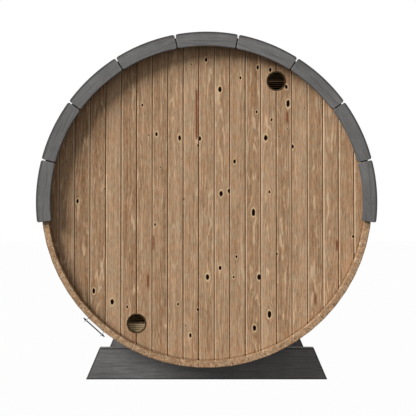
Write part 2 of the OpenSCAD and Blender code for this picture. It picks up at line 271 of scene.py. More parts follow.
@dataclass(frozen=True)
class HeatTreatedSpruce:
    """Planed spruce baked brown: soft long streaks, faint growth rings, black knots in pale rims."""

    axis_z: float
    wall_r: float
    end_r: float
    end_y: float
    name: str = "heat_treated_spruce"
    light: str = "#bba188"
    middle: str = "#a5896f"
    deep: str = "#84674e"
    knot: str = "#120301"
    bark: str = "#4a1f0c"
    flame: str = "#dcc2a6"
    rim: str = "#d6ba92"
    resin: str = "#75402a"
    # Colour of the dark joints, also used for the painted shade at the wall's foot, the staves' lip and the
    # stave ends' outer arris
    joint: str = "#3a2414"
    # Colour of the painted highlight along plank edges
    arris: str = "#cdb294"
    warm: str = "#fff1e2"
    cool: str = "#f7f5ec"
    # Sizes, across and along the grain where there are two. Rings, fibres and streaks are drawn
    # about twice as coarse as real ones so that they show
    ring_mm: float = 9.0
    flame_mm: Point = (13.0, 60.0)
    wander_mm: Point = (110.0, 450.0)
    patch_mm: Point = (29.0, 110.0)
    fibre_mm: Point = (4.5, 210.0)
    streak_mm: Point = (17.0, 700.0)
    fleck_mm: Point = (8.0, 34.0)
    tint_mm: float = 45.0
    ragged_mm: float = 7.0
    speck_mm: float = 11.0
    joint_mm: float = 2.8
    seam_mm: float = 0.3
    lip_mm: float = 1.0
    # Reach of the painted shade at the wall's foot and on the stave ends' outer arris
    foot_shade_mm: float = 12.0
    end_shade_mm: float = 7.2
    # Where the painted highlight along plank edges sets in and is full
    arris_mm: Point = (11.0, 6.6)
    resin_mm: Point = (10.0, 3.0)
    resin_ragged_mm: float = 14.0
    resin_end_mm: float = 30.0
    # Heart of the log: how far beside and below the plank it lies, and how it wanders
    spread: float = 37.0
    heart_mm: float = 60.0
    below_mm: Point = (30.0, 75.0)
    lean: float = 0.03
    drift_mm: float = 22.0
    ripple: float = 0.4
    # Knots, in their own radii
    knot_squeeze: float = 0.62
    knot_ragged: float = 0.35
    core_edge: Point = (1.15, 0.85)
    rim_edge: Point = (1.95, 1.2)
    pull_fade: float = -0.16
    heart_edge: Point = (0.4, 0.9)
    # Where each pattern sets in and is full
    flame_edge: Point = (0.5, 0.95)
    patch_edge: Point = (0.49, 0.62)
    tint_edge: Point = (0.35, 0.65)
    highlight_sides: Point = (0.35, 0.9)
    speck_edge: Point = (0.3, 0.7)
    tone_stops: Spot = (0.2, 0.5, 0.85)
    # How strongly each part shows
    board_tone: float = 0.12
    streak_tone: float = 0.3
    fibre_tone: float = 0.4
    fleck_tone: float = 0.42
    ring_tone: float = 0.08
    flame_tone: float = 0.66
    resin_tone: float = 0.9
    rim_tone: float = 0.7
    # Strengths of the painted shade at the wall's foot and the staves' lip, of the painted highlight on plank
    # edges and of the painted shade on the stave ends' outer arris
    foot_shade_tone: float = 0.5
    lip_shade_tone: float = 0.3
    arris_tone: float = 0.75
    end_arris_shade_tone: float = 0.45
    joint_tones: Point = (0.95, 0.85)
    joint_spread: float = 2.6
    speck_tones: Point = (0.66, 1.36)
    rough: Point = (0.5, 0.74)
    relief: Point = (0.22, 0.8)
    ring_relief: float = 0.3
    shine: float = 0.05

    def knot_group(self) -> Tree:
        """Make the group that gives one knot's core, pale rim and pull on the grain.

        Returns:
            The group's tree.
        """
        tree = node_group(
            "spruce_knot",
            "ShaderNodeTree",
            {"Across": "Float", "Pulled": "Float", "Along": "Float", "Ragged": "Float", "Knot": "Vector"},
            {"Pulled": "Float", "Core": "Float", "Rim": "Float"},
        )
        given = add(tree, "NodeGroupInput").node.outputs
        spot = add(tree, SPLIT, (given["Knot"],)).node.outputs
        aside = add(tree, MATH, (given["Across"], spot[0]), **MINUS)
        above = add(tree, MATH, (given["Along"], spot[1]), **MINUS)
        above = add(tree, MATH, (above, self.knot_squeeze), **TIMES)
        flat = add(tree, JOIN, (aside, above))
        far = add(tree, VECTOR, (flat,), **LENGTH)
        size = add(tree, MATH, (spot[2], 1e-5), **LARGER)
        ratio = add(tree, MATH, (far, size), **OVER)
        ratio = add(tree, MATH, (ratio, given["Ragged"]), **PLUS)
        core, rim = (
            add(tree, RANGE, (ratio, start, full), **SMOOTH)
            for start, full in (self.core_edge, self.rim_edge)
        )
        near = add(tree, MATH, (ratio, ratio), **TIMES)
        near = add(tree, MATH, (near, self.pull_fade), **TIMES)
        near = add(tree, MATH, (near,), operation="EXPONENT")
        pull = add(tree, MATH, (aside, near), **TIMES)
        pulled = add(tree, MATH, (given["Pulled"], pull), **MINUS)
        add(tree, "NodeGroupOutput", {"Pulled": pulled, "Core": core, "Rim": rim})
        return tree

    def knots(self, tree: Tree, across: Socket, along: Socket, ragged: Socket) -> tuple[Socket, ...]:
        """Add the knots of a plank.

        Args:
            tree: Tree that gets the nodes.
            across: Place across the plank.
            along: Place along it.
            ragged: Unevenness of the knots' edges.

        Returns:
            Place across with the grain drawn round the knots, their cores and their rims.
        """
        group = self.knot_group()
        pulled, core, rim = across, 0.0, 0.0
        for k in range(KNOT_SLOTS):
            spot = add(tree, ATTRIBUTE, out="Vector", attribute_name=f"knot_{k}")
            wired = {"Across": across, "Pulled": pulled, "Along": along, "Ragged": ragged, "Knot": spot}
            knot = add(tree, "ShaderNodeGroup", wired, node_tree=group).node.outputs
            pulled = knot["Pulled"]
            core = add(tree, MATH, (core, knot["Core"]), **LARGER)
            rim = add(tree, MATH, (rim, knot["Rim"]), **LARGER)
        return pulled, core, rim

    def rings(
        self, tree: Tree, roll: Sequence[Socket], own: Socket, place: Sequence[Socket]
    ) -> tuple[Socket, Socket]:
        """Add growth rings: a board is a slice of a log, so they lie about a heart below its face.

        Args:
            tree: Tree that gets the nodes.
            roll: Three random numbers of the plank.
            own: The plank's own grain.
            place: Place across with the pull of the knots, in and along the plank.

        Returns:
            The rings' wave, and the pale flames on some of their crests.
        """
        heart = add(tree, RANGE, {0: roll[0], 3: -self.heart_mm * MM, 4: self.heart_mm * MM})
        below = add(tree, RANGE, {0: roll[1], 3: self.below_mm[0] * MM, 4: self.below_mm[1] * MM})
        lean = add(tree, RANGE, {0: roll[2], 3: -self.lean, 4: self.lean})
        wander = blotches(tree, own, self.wander_mm, Detail=2.0)
        wander = add(tree, RANGE, {0: wander, 3: -self.drift_mm * MM, 4: self.drift_mm * MM})
        rise = add(tree, MATH, (place[2], lean, wander), **TIMES_PLUS)
        for part in (below, place[1]):
            rise = add(tree, MATH, (rise, part), **PLUS)
        aside = add(tree, MATH, (place[0], heart), **MINUS)
        log = add(tree, JOIN, (aside, rise))
        log = add(tree, VECTOR, (log,), **LENGTH)
        swing = self.ripple * self.ring_mm * MM
        ripple = blotches(tree, own, self.flame_mm, Detail=1.0)
        ripple = add(tree, RANGE, {0: ripple, 3: -swing, 4: swing})
        log = add(tree, MATH, (log, ripple), **PLUS)
        ring = add(tree, MATH, (log, per_mm(self.ring_mm) * math.tau), **TIMES)
        ring = add(tree, MATH, (ring,), operation="SINE")
        flame = add(tree, RANGE, (ring, *self.flame_edge), **SMOOTH)
        patch = blotches(tree, own, self.patch_mm, Detail=1.0)
        patch = add(tree, RANGE, (patch, *self.patch_edge), **SMOOTH)
        for part in (patch, self.flame_tone):
            flame = add(tree, MATH, (flame, part), **TIMES)
        return ring, flame

    def resin_streak(self, tree: Tree, across: Socket, along: Socket, ragged: Socket) -> Socket:
        """Add the resin: a thin streak along the fibres.

        Args:
            tree: Tree that gets the nodes.
            across: Place across the plank.
            along: Place along it.
            ragged: Unevenness of the streak's edges.

        Returns:
            How much of it shows.
        """
        stain = add(tree, ATTRIBUTE, out="Vector", attribute_name="stain")
        stain = add(tree, SPLIT, (stain,)).node.outputs
        aside = add(tree, MATH, (across, stain[0]), **MINUS)
        aside = add(tree, MATH, (aside,), **UNSIGNED)
        aside = add(tree, MATH, (ragged, self.resin_ragged_mm * MM, aside), **TIMES_PLUS)
        aside = (aside, self.resin_mm[0] * MM, self.resin_mm[1] * MM)
        aside = add(tree, RANGE, aside, **SMOOTH)
        above = add(tree, MATH, (along, stain[1]), **MINUS)
        above = add(tree, MATH, (above,), **UNSIGNED)
        above = add(tree, MATH, (stain[2], above), **MINUS)
        above = add(tree, RANGE, {0: above, 2: self.resin_end_mm * MM}, **SMOOTH)
        amount = add(tree, MATH, (aside, above), **TIMES)
        return add(tree, MATH, (amount, self.resin_tone), **TIMES)

    def weather_light_and_shade(self, tree: Tree, colour: Socket, across: Socket, seed: Socket, core: Socket) -> Socket:
        """Add painted highlights along plank edges, dirty joints, end grain and painted shade at the rim over
        the figure.

        Args:
            tree: Tree that gets the nodes.
            colour: Colour of the figure.
            across: Place across the plank.
            seed: The plank's seed.
            core: The knots, which the planed edges leave out.

        Returns:
            The weathered colour.
        """
        # Painted shade darkens the wall where it meets the staves, in the corner of the recess
        place, at, far = round_axis(tree, self.axis_z)
        under = add(tree, MATH, (far, self.wall_r - self.seam_mm * MM), **IS_BELOW)
        foot = {0: far, 1: self.wall_r - self.foot_shade_mm * MM, 2: self.wall_r, 4: self.foot_shade_tone}
        foot = add(tree, RANGE, foot, **SMOOTH)
        foot = add(tree, MATH, (foot, under), **TIMES)

        # Painted highlight: a paler band along the edges of some planks, where the eased edges catch the
        # light
        half = add(tree, ATTRIBUTE, out="Fac", attribute_name="half")
        edge = add(tree, MATH, (across,), **UNSIGNED)
        edge = add(tree, MATH, (half, edge), **MINUS)
        edge = add(tree, MATH, (edge,), **UNSIGNED)
        band = (edge, self.arris_mm[0] * MM, self.arris_mm[1] * MM)
        band = add(tree, RANGE, band, **SMOOTH)
        side = add(tree, MATH, (across,), operation="SIGN")
        side = add(tree, MATH, (side, 0.5, seed), **TIMES_PLUS)
        side = add(tree, "ShaderNodeTexWhiteNoise", {"W": side}, out="Value", noise_dimensions="1D")
        side = add(tree, RANGE, {0: side, 1: self.highlight_sides[0], 2: self.highlight_sides[1], 4: self.arris_tone})
        band = add(tree, MATH, (band, side), **TIMES)
        band = add(tree, MATH, (band, core), **MINUS, use_clamp=True)
        colour = add(tree, MIX, {0: band, 6: colour, 7: linear(self.arris)}, **OF_COLOUR)

        # Dirt and shade sit in the joint between two planks, most at its ends
        thin = self.joint_mm * MM
        wide = add(tree, RANGE, {0: foot, 2: self.foot_shade_tone, 3: thin, 4: self.joint_spread * thin})
        edge = add(tree, RANGE, (edge, wide, self.seam_mm * MM), **SMOOTH)
        back = add(tree, MATH, (at[1],), **UNSIGNED)
        end = add(tree, MATH, (back, self.end_y), **IS_ABOVE)
        faint = add(tree, RANGE, {0: end, 3: self.joint_tones[0], 4: self.joint_tones[1]})
        edge = add(tree, MATH, (edge, faint), **TIMES)
        colour = add(tree, MIX, {0: edge, 6: colour, 7: linear(self.joint)}, **OF_COLOUR)

        # Cut across, the fibres show as a coarse speckle
        speck = add(tree, NOISE, {"Vector": place, "Scale": per_mm(self.speck_mm), "Detail": 2.0})
        speck = (speck, *self.speck_edge, *self.speck_tones)
        speckled = {0: end, 6: colour, 7: add(tree, RANGE, speck)}
        colour = add(tree, MIX, speckled, **OF_COLOUR, blend_type="MULTIPLY")

        # Painted shade also darkens the outer arris of the stave ends and their inner lip by the wall
        lip = add(tree, MATH, (far, self.wall_r + self.lip_mm * MM), **IS_BELOW)
        lip = add(tree, MATH, (lip, under), **MINUS)
        foot = add(tree, MATH, (lip, self.lip_shade_tone, foot), **TIMES_PLUS)
        arris = {0: far, 1: self.end_r - self.end_shade_mm * MM, 2: self.end_r, 4: self.end_arris_shade_tone}
        arris = add(tree, RANGE, arris, **SMOOTH)
        painted_shade_mask = add(tree, MATH, (arris, end, foot), **TIMES_PLUS)
        return add(tree, MIX, {0: painted_shade_mask, 6: colour, 7: linear(self.joint)}, **OF_COLOUR)

    def build(self) -> Material:
        """Build the material from the planks' own grain, seed, knot and stain attributes.

        Returns:
            The material.
        """
        material, tree = new_material(self.name)
        grain, seed, apart, own = plank_place(tree, self.spread)
        across, depth, along = add(tree, SPLIT, (grain,)).node.outputs
        dice = add(tree, "ShaderNodeTexWhiteNoise", {"W": seed}, out="Color", noise_dimensions="1D")
        roll = add(tree, "ShaderNodeSeparateColor", (dice,)).node.outputs
        ragged = add(tree, NOISE, {"Vector": own, "Scale": per_mm(self.ragged_mm), "Detail": 1.0})
        ragged = add(tree, RANGE, {0: ragged, 3: -self.knot_ragged, 4: self.knot_ragged})
        pulled, core, rim = self.knots(tree, across, along, ragged)
        ring, flame = self.rings(tree, roll, own, (pulled, depth, along))

        lanes = add(tree, JOIN, (pulled, depth, along))
        lanes = add(tree, VECTOR, (lanes, apart), **PLUS)
        fibre = blotches(tree, lanes, self.fibre_mm, Detail=2.0, Roughness=0.6)
        streak = blotches(tree, lanes, self.streak_mm, Detail=3.0, Roughness=0.55)
        fleck = blotches(tree, lanes, self.fleck_mm, Detail=2.0, Roughness=0.6)
        shade = add(tree, RANGE, {0: roll[1], 3: 0.5 - self.board_tone, 4: 0.5 + self.board_tone})
        parts = (
            (streak, 0.0, self.streak_tone),
            (fibre, 0.0, self.fibre_tone),
            (fleck, 0.0, self.fleck_tone),
            (ring, -1.0, -self.ring_tone),
        )
        for part, least, tone in parts:
            step = add(tree, RANGE, (part, least, 1.0, -tone, tone))
            shade = add(tree, MATH, (shade, step), **PLUS)
        ramp = add(tree, "ShaderNodeValToRGB", (shade,)).node
        stops = ramp.color_ramp.elements
        stops[0].position, stops[1].position = self.tone_stops[0], self.tone_stops[2]
        stops.new(self.tone_stops[1])
        for stop, tone in zip(stops, (self.light, self.middle, self.deep)):
            stop.color = linear(tone)
        flamed = {0: flame, 6: ramp.outputs[0], 7: linear(self.flame)}
        colour = add(tree, MIX, flamed, **OF_COLOUR)

        tint = add(tree, NOISE, {"Vector": lanes, "Scale": per_mm(self.tint_mm), "Detail": 2.0})
        tint = add(tree, RANGE, (tint, *self.tint_edge))
        tint = add(tree, MIX, {0: tint, 6: linear(self.warm), 7: linear(self.cool)}, **OF_COLOUR)
        tinted = {0: 1.0, 6: colour, 7: tint}
        colour = add(tree, MIX, tinted, **OF_COLOUR, blend_type="MULTIPLY")

        amount = self.resin_streak(tree, across, along, ragged)
        paler = add(tree, MATH, (rim, self.rim_tone), **TIMES)
        heart = add(tree, RANGE, (core, *self.heart_edge))
        layers = ((amount, self.resin), (paler, self.rim), (core, self.bark), (heart, self.knot))
        for share, tone in layers:
            colour = add(tree, MIX, {0: share, 6: colour, 7: linear(tone)}, **OF_COLOUR)
        colour = self.weather_light_and_shade(tree, colour, across, seed, core)
        height = add(tree, MATH, (ring, self.ring_relief, fibre), **TIMES_PLUS)
        close_material(tree, colour, fibre, height, self.rough, self.relief, **{SPECULAR: self.shine})
        return material


@dataclass(frozen=True)
class GreyPaintedPine:
    """Pine under opaque grey paint: an even satin grey with the grain showing faintly through."""

    trim_top: float
    trim_r: float
    trim_y: float
    trim_w: float
    barrel_r: float
    cradle_half: float
    cradle_h: float
    cradle_lean: float
    base: str = "#72716f"
    shade: str = "#535251"
    dark: str = "#464544"
    # Colour of the painted shade along the trim's arrises
    edge: str = "#2a2928"
    # Colour of the painted shade under the barrel and along the cradles' edges
    painted_shade: str = "#1a1a1b"
    # Sizes across and along the grain, drawn as coarse as a pixel of the render needs
    fibre_mm: Point = (7.0, 260.0)
    pore_mm: Point = (7.0, 22.0)
    line_mm: Point = (6.5, 260.0)
    blot_mm: float = 160.0
    # How far from an arris its painted shade sets in and is full
    outer_mm: Point = (18.0, 4.0)
    inner_mm: Point = (7.2, 1.5)
    edge_shade_mm: Point = (13.0, 5.2)
    face_mm: float = 5.0
    painted_shade_mm: float = 150.0
    tone_edge: Point = (1.05, 1.95)
    line_edge: Point = (0.52, 0.68)
    spread: float = 41.0
    line_tone: float = 0.8
    # Strengths of the painted shade on the trim's arrises, under the barrel and along the cradles' edges
    outer_shade_tone: float = 0.9
    inner_shade_tone: float = 0.5
    painted_shade_tone: float = 0.42
    edge_shade_tone: float = 0.85
    rough: Point = (0.42, 0.62)
    relief: Point = (0.25, 0.6)
    shine: float = 0.35

    def trim_arris_shade(self, tree: Tree, at: Sequence[Socket], far: Socket) -> Socket:
        """Add painted shade along both arrises of the arched trim's face.

        Args:
            tree: Tree that gets the nodes.
            at: X, Y and Z of a point.
            far: Its distance from the barrel's axis.

        Returns:
            How much of it shows.
        """
        outer = [self.trim_r - reach * MM for reach in self.outer_mm]
        inner = [self.trim_r - self.trim_w + reach * MM for reach in self.inner_mm]
        outer, inner = (
            add(tree, RANGE, {0: far, 1: start, 2: full, 4: tone}, **SMOOTH)
            for (start, full), tone in ((outer, self.outer_shade_tone), (inner, self.inner_shade_tone))
        )
        trim_edge_shade = add(tree, MATH, (outer, inner), **PLUS)
        face = add(tree, MATH, (at[1],), **UNSIGNED)
        face = add(tree, MATH, (face, self.trim_y - self.face_mm * MM), **IS_ABOVE)
        return add(tree, MATH, (trim_edge_shade, face), **TIMES)

    def cradle_edge_shade(self, tree: Tree, at: Sequence[Socket]) -> Socket:
        """Add painted shade along the edges of the cradles' faces, which draws their outline.

        Args:
            tree: Tree that gets the nodes.
            at: X, Y and Z of a point.

        Returns:
            How much of it shows.
        """
        aside = add(tree, MATH, (at[0],), **UNSIGNED)
        flank = (at[2], -self.cradle_lean, self.cradle_half)
        flank = add(tree, MATH, flank, **TIMES_PLUS)
        near = add(tree, MATH, (flank, aside), **MINUS)
        top = add(tree, MATH, (self.cradle_h, at[2]), **MINUS)
        for part in (top, at[2]):
            near = add(tree, MATH, (near, part), **SMALLER)
        near = {0: near, 1: self.edge_shade_mm[0] * MM, 2: self.edge_shade_mm[1] * MM, 4: self.edge_shade_tone}
        near = add(tree, RANGE, near, **SMOOTH)
        facing = add(tree, "ShaderNodeNewGeometry", out="True Normal")
        facing = add(tree, SPLIT, (facing,), out=1)
        facing = add(tree, MATH, (facing,), **UNSIGNED)
        facing = add(tree, MATH, (facing, 0.5), **IS_ABOVE)
        return add(tree, MATH, (near, facing), **TIMES)

    def build(self) -> Material:
        """Build the material from the planks' own grain and seed attributes.

        Returns:
            The material.
        """
        material, tree = new_material("grey_painted_pine")
        own = plank_place(tree, self.spread)[3]
        fibre = blotches(tree, own, self.fibre_mm, Detail=3.0, Roughness=0.6)
        blot = add(tree, NOISE, {"Vector": own, "Scale": per_mm(self.blot_mm), "Detail": 2.0})
        tone = fibre
        for part in (blot, blotches(tree, own, self.pore_mm, Detail=2.0, Roughness=0.6)):
            tone = add(tree, MATH, (tone, part), **PLUS)
        tone = add(tree, RANGE, (tone, *self.tone_edge))
        colours = {0: tone, 6: linear(self.base), 7: linear(self.shade)}
        colour = add(tree, MIX, colours, **OF_COLOUR)

        # Late wood stands a little proud, so dirt draws it as thin dark lines
        line = blotches(tree, own, self.line_mm, Detail=2.0)
        line = {0: line, 1: self.line_edge[0], 2: self.line_edge[1], 4: self.line_tone}
        line = add(tree, RANGE, line, **SMOOTH)

        # Painted shade darkens the cradles just under the barrel
        _, at, far = round_axis(tree, self.trim_top - self.trim_r)
        upper = add(tree, MATH, (at[2], self.trim_top / 4), **IS_ABOVE)
        lower = add(tree, MATH, (1.0, upper), **MINUS)
        painted_shade = {0: far, 1: self.barrel_r + self.painted_shade_mm * MM, 2: self.barrel_r, 4: self.painted_shade_tone}
        painted_shade = add(tree, RANGE, painted_shade, **SMOOTH)

        trim_edge_shade, edge_shade = self.trim_arris_shade(tree, at, far), self.cradle_edge_shade(tree, at)
        trim_edge_shade, painted_shade, edge_shade = (
            add(tree, MATH, (painted_shade_mask, where), **TIMES)
            for painted_shade_mask, where in ((trim_edge_shade, upper), (painted_shade, lower), (edge_shade, lower))
        )
        # Dark grain lines are the paint's own colour; the other layers are painted shade
        layers = ((line, self.dark), (trim_edge_shade, self.edge), (painted_shade, self.painted_shade), (edge_shade, self.painted_shade))
        for share, stain in layers:
            colour = add(tree, MIX, {0: share, 6: colour, 7: linear(stain)}, **OF_COLOUR)
        close_material(tree, colour, fibre, fibre, self.rough, self.relief, **{SPECULAR: self.shine})
        return material


@dataclass(frozen=True)
class BitumenShingle:
    """Felt shingle rolled in slate grit: matt charcoal, speckled, each tab a little different."""

    dark: str = "#1d1d1e"
    light: str = "#48484a"
    # Grit is drawn as coarse as a pixel of the render needs
    grit_mm: float = 6.0
    blot_mm: float = 70.0
    grit_tone: float = 1.6
    tone_edge: Point = (1.1, 2.6)
    rough: Point = (0.8, 0.98)
    relief: Point = (0.5, 1.2)
    shine: float = 0.2

    def build(self) -> Material:
        """Build the material on Object coordinates, with the tabs' seed for their tone.

        Returns:
            The material.
        """
        material, tree = new_material("slate_grit_bitumen")
        place = add(tree, "ShaderNodeTexCoord", out="Object")
        seed = add(tree, ATTRIBUTE, out="Fac", attribute_name="seed")
        grit = {"Vector": place, "Scale": per_mm(self.grit_mm), "Detail": 2.0, "Roughness": 0.8}
        grit = add(tree, NOISE, grit)
        blot = add(tree, NOISE, {"Vector": place, "Scale": per_mm(self.blot_mm), "Detail": 2.0})
        tone = add(tree, MATH, (blot, seed), **PLUS)
        tone = add(tree, MATH, (grit, self.grit_tone, tone), **TIMES_PLUS)
        tone = add(tree, RANGE, (tone, *self.tone_edge))
        colours = {0: tone, 6: linear(self.dark), 7: linear(self.light)}
        colour = add(tree, MIX, colours, **OF_COLOUR)
        close_material(tree, colour, grit, grit, self.rough, self.relief, **{SPECULAR: self.shine})
        return material


@dataclass(frozen=True)
class SpeckledFinish:
    """A plain surface with a fine speckle: galvanised steel, powder coat or moulded plastic."""

    name: str
    base: str
    shade: str
    speckle_mm: float
    rough: Point
    relief: Point
    shine: float
    metallic: float = 0.0

    def build(self) -> Material:
        """Build the material on Object coordinates.

        Returns:
            The material.
        """
        material, tree = new_material(self.name)
        place = add(tree, "ShaderNodeTexCoord", out="Object")
        speck = add(tree, NOISE, {"Vector": place, "Scale": per_mm(self.speckle_mm), "Detail": 3.0})
        colours = {0: speck, 6: linear(self.base), 7: linear(self.shade)}
        colour = add(tree, MIX, colours, **OF_COLOUR)
        shine = {SPECULAR: self.shine, "Metallic": self.metallic}
        close_material(tree, colour, speck, speck, self.rough, self.relief, **shine)
        return material


# Dull zinc: a grey metal with soft cloudy spangle
GALVANISED_STEEL = SpeckledFinish(
    "galvanised_steel", "#b4b6b8", "#94969a", 9.0, (0.38, 0.56), relief=(0.3, 0.05), shine=0.5, metallic=1.0
)
# Powder coat: matt black with a slight orange peel
POWDER_COAT = SpeckledFinish(
    "black_powder_coat", "#1b1b1c", "#101011", 3.0, (0.5, 0.62), relief=(0.3, 0.15), shine=0.25
)
# Moulded ABS: dark brown with a fine spark texture
MOULDED_ABS = SpeckledFinish(
    "brown_moulded_abs", "#4b3820", "#382816", 3.0, (0.5, 0.66), relief=(0.3, 0.1), shine=0.15
)


@dataclass(frozen=True)
class Finishes:
    """The materials of the whole cabin."""

    wood: Material
    # The spruce made paler as painted light, for the vent slides
    pale: Material
    paint: Material
    shingle: Material
    steel: Material
    black: Material
    plastic: Material

    @classmethod
    def build(cls, barrel: "Barrel") -> "Finishes":
        """Build every material once, with painted shade where the barrel's parts meet.

        Args:
            barrel: Sizes of the barrel.

        Returns:
            The finished materials.
        """
        trim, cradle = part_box("front_trim")[1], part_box("rear_cradle")[1]
        wood = HeatTreatedSpruce(barrel.axis_z, barrel.stave_in, barrel.stave_out, barrel.half_len - 2 * MM)
        # Painted light: the same figure in pale straw, so that the vent slides look lit in the shade of their
        # holes
        pale = replace(wood, name="lightened_spruce", light="#f2dfc0", middle="#ead3ae", deep="#d0b48c")
        paint = GreyPaintedPine(
            trim_top=trim.z,
            trim_r=trim.x,
            trim_y=trim.y,
            trim_w=ArchedTrim.width,
            barrel_r=barrel.stave_out,
            cradle_half=cradle.x,
            cradle_h=cradle.z,
            cradle_lean=Cradles.lean,
        )
        finishes = (wood, pale, paint, BitumenShingle(), GALVANISED_STEEL, POWDER_COAT, MOULDED_ABS)
        return cls(*(finish.build() for finish in finishes))


def on_arc(radius: float, angle: float) -> Point:
    """Point in X and Z at an angle from the top towards +X."""
    return (radius * math.sin(angle), radius * math.cos(angle))


def arc(radius: float, first: float, last: float, steps: int) -> list[Point]:
    """Points in X and Z along an arc about the barrel's axis."""
    return [on_arc(radius, first + (last - first) * k / steps) for k in range(steps + 1)]


def loft(low: Sequence[Sequence[float]], high: Sequence[Sequence[float]]) -> Solid:
    """Close a solid between two matching loops of points.

    Args:
        low: Points of the first loop.
        high: Points of the second loop, in the same order.

    Returns:
        The closed solid with its normals outwards.
    """
    bm = bmesh.new()
    first = [bm.verts.new(p) for p in low]
    last = [bm.verts.new(p) for p in high]
    bm.faces.new(first[::-1])
    bm.faces.new(last)
    for k in range(len(first)):
        n = (k + 1) % len(first)
        bm.faces.new((first[k], first[n], last[n], last[k]))
    bmesh.ops.recalc_face_normals(bm, faces=bm.faces)
    return bm


def prism(outline: Sequence[Point], y0: float, y1: float, ease: float = 0.0) -> Solid:
    """Carry an outline in X and Z along Y.

    Args:
        outline: Points in X and Z.
        y0: Where it starts.
        y1: Where it ends.
        ease: Rounding of the edges at both ends.

    Returns:
        The closed solid.
    """
    bm = loft([(x, y0, z) for x, z in outline], [(x, y1, z) for x, z in outline])
    if ease > 0:
        ends = [e for e in bm.edges if abs(e.verts[0].co.y - e.verts[1].co.y) < 1e-6]
        bmesh.ops.bevel(bm, geom=ends, offset=ease, **ROUNDING)
    return bm


def block(low: Sequence[float], high: Sequence[float], ease: float) -> Solid:
    """Make a block with every edge eased.

    Args:
        low: Lowest corner.
        high: Highest corner.
        ease: Rounding of the edges.

    Returns:
        The closed solid.
    """
    plan = ((low[0], low[1]), (high[0], low[1]), (high[0], high[1]), (low[0], high[1]))
    bm = loft([(*p, low[2]) for p in plan], [(*p, high[2]) for p in plan])
    bmesh.ops.bevel(bm, geom=bm.edges[:], offset=ease, **ROUNDING)
    return bm


def lathe(profile: Sequence[Point], foot: Vector, axis: Vector, steps: int, closed: bool = False) -> Solid:
    """Turn a profile about an axis.

    Args:
        profile: Radius and height of each point.
        foot: Point on the axis at height 0.
        axis: Direction of the axis.
        steps: Sides of the turned shape.
        closed: True where the profile is itself a closed ring.

    Returns:
        The closed solid.
    """
    axis = axis.normalized()
    side = axis.orthogonal().normalized()
    other = axis.cross(side)
    bm = bmesh.new()
    rings = []
    for radius, height in profile:
        turn = [math.tau * k / steps for k in range(steps)]
        places = [foot + axis * height + (side * math.cos(t) + other * math.sin(t)) * radius for t in turn]
        rings.append([bm.verts.new(p) for p in places])
    pairs = list(zip(rings, rings[1:] + rings[:1])) if closed else list(zip(rings, rings[1:]))
    for ring, above in pairs:
        for k in range(steps):
            n = (k + 1) % steps
            bm.faces.new((ring[k], ring[n], above[n], above[k]))
    if not closed:
        bm.faces.new(rings[0][::-1])
        bm.faces.new(rings[-1])
    bmesh.ops.recalc_face_normals(bm, faces=bm.faces)
    return bm


def new_object(name: str, points: Sequence[Any], faces: Sequence[Any] = ()) -> Piece:
    """Make an object at the origin.

    Args:
        name: Name of the object and its mesh.
        points: Its points.
        faces: Its faces, as numbers of points.

    Returns:
        The object, linked into the scene.
    """
    mesh = bpy.data.meshes.new(name)
    mesh.from_pydata(points, [], faces)
    piece = bpy.data.objects.new(name, mesh)
    bpy.context.scene.collection.objects.link(piece)
    return piece


def take_mesh(solid: Solid, points: list[Vector], faces: list[list[int]]) -> None:
    """Move a solid's points and faces to the end of two lists.

    Args:
        solid: Solid, which is freed.
        points: Points so far.
        faces: Faces so far, as numbers of points.
    """
    start = len(points)
    solid.verts.index_update()
    points += [v.co.copy() for v in solid.verts]
    faces += [[start + v.index for v in f.verts] for f in solid.faces]
    solid.free()


def join_plain(name: str, solids: Sequence[Solid]) -> Piece:
    """Make one object of several solids.

    Args:
        name: Name of the object.
        solids: Solids, which are freed.

    Returns:
        The object at the origin.
    """
    points: list[Vector] = []
    faces: list[list[int]] = []
    for solid in solids:
        take_mesh(solid, points, faces)
    return new_object(name, points, faces)


def cut_out(solid: Solid, cutters: Sequence[Solid]) -> Solid:
    """Cut solids out of another one.

    Args:
        solid: Solid that is cut, and freed.
        cutters: Solids that are taken out of it, and freed.

    Returns:
        What is left of the solid.
    """
    body, *tools = [join_plain("cut_out", [one]) for one in (solid, *cutters)]
    for tool in tools:
        cut = body.modifiers.new("cut_out", "BOOLEAN")
        cut.operation, cut.solver, cut.object = "DIFFERENCE", "EXACT", tool
    settle(body)
    left = bmesh.new()
    left.from_mesh(body.data)
    for piece in (body, *tools):
        bpy.data.objects.remove(piece)
    return left


def settle(piece: Piece) -> None:
    """Turn an object's modifiers into its plain mesh.

    Args:
        piece: Object that keeps the evaluated mesh and loses its modifiers.
    """
    graph = bpy.context.evaluated_depsgraph_get()
    mesh = bpy.data.meshes.new_from_object(piece.evaluated_get(graph))
    piece.modifiers.clear()
    piece.data = mesh


def grow(piece: Piece, tree: Tree, sizes: dict[str, Any]) -> None:
    """Run a node tree on an object and keep its result as a plain mesh.

    Args:
        piece: Object whose mesh the tree starts from.
        tree: Geometry node tree.
        sizes: Value for each of the tree's named inputs.
    """
    modifier = piece.modifiers.new(tree.name, "NODES")
    modifier.node_group = tree
    for item in tree.interface.items_tree:
        if item.item_type == "SOCKET" and item.in_out == "INPUT" and item.name in sizes:
            modifier[item.identifier] = sizes[item.name]
    settle(piece)


def dress(piece: Piece, material: Material, slot: Slot, *nodes: str) -> None:
    """Give a finished piece its material and body, and hide the CAD nodes it stands for.

    Args:
        piece: Finished piece at the origin.
        material: Its material.
        slot: The record's material slot; not used.
        *nodes: CAD nodes that it stands for.
    """
    piece.data.materials.clear()
    piece.data.materials.append(material)
    piece.data.shade_smooth()
    piece.data.set_sharp_from_angle(angle=SHARP)
    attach(piece, BODY)
    if nodes:
        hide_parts(*nodes)
    stands_for = ", ".join(nodes) or "nothing"
    LOG.info("%s: %d faces, stands for %s", piece.name, len(piece.data.polygons), stands_for)


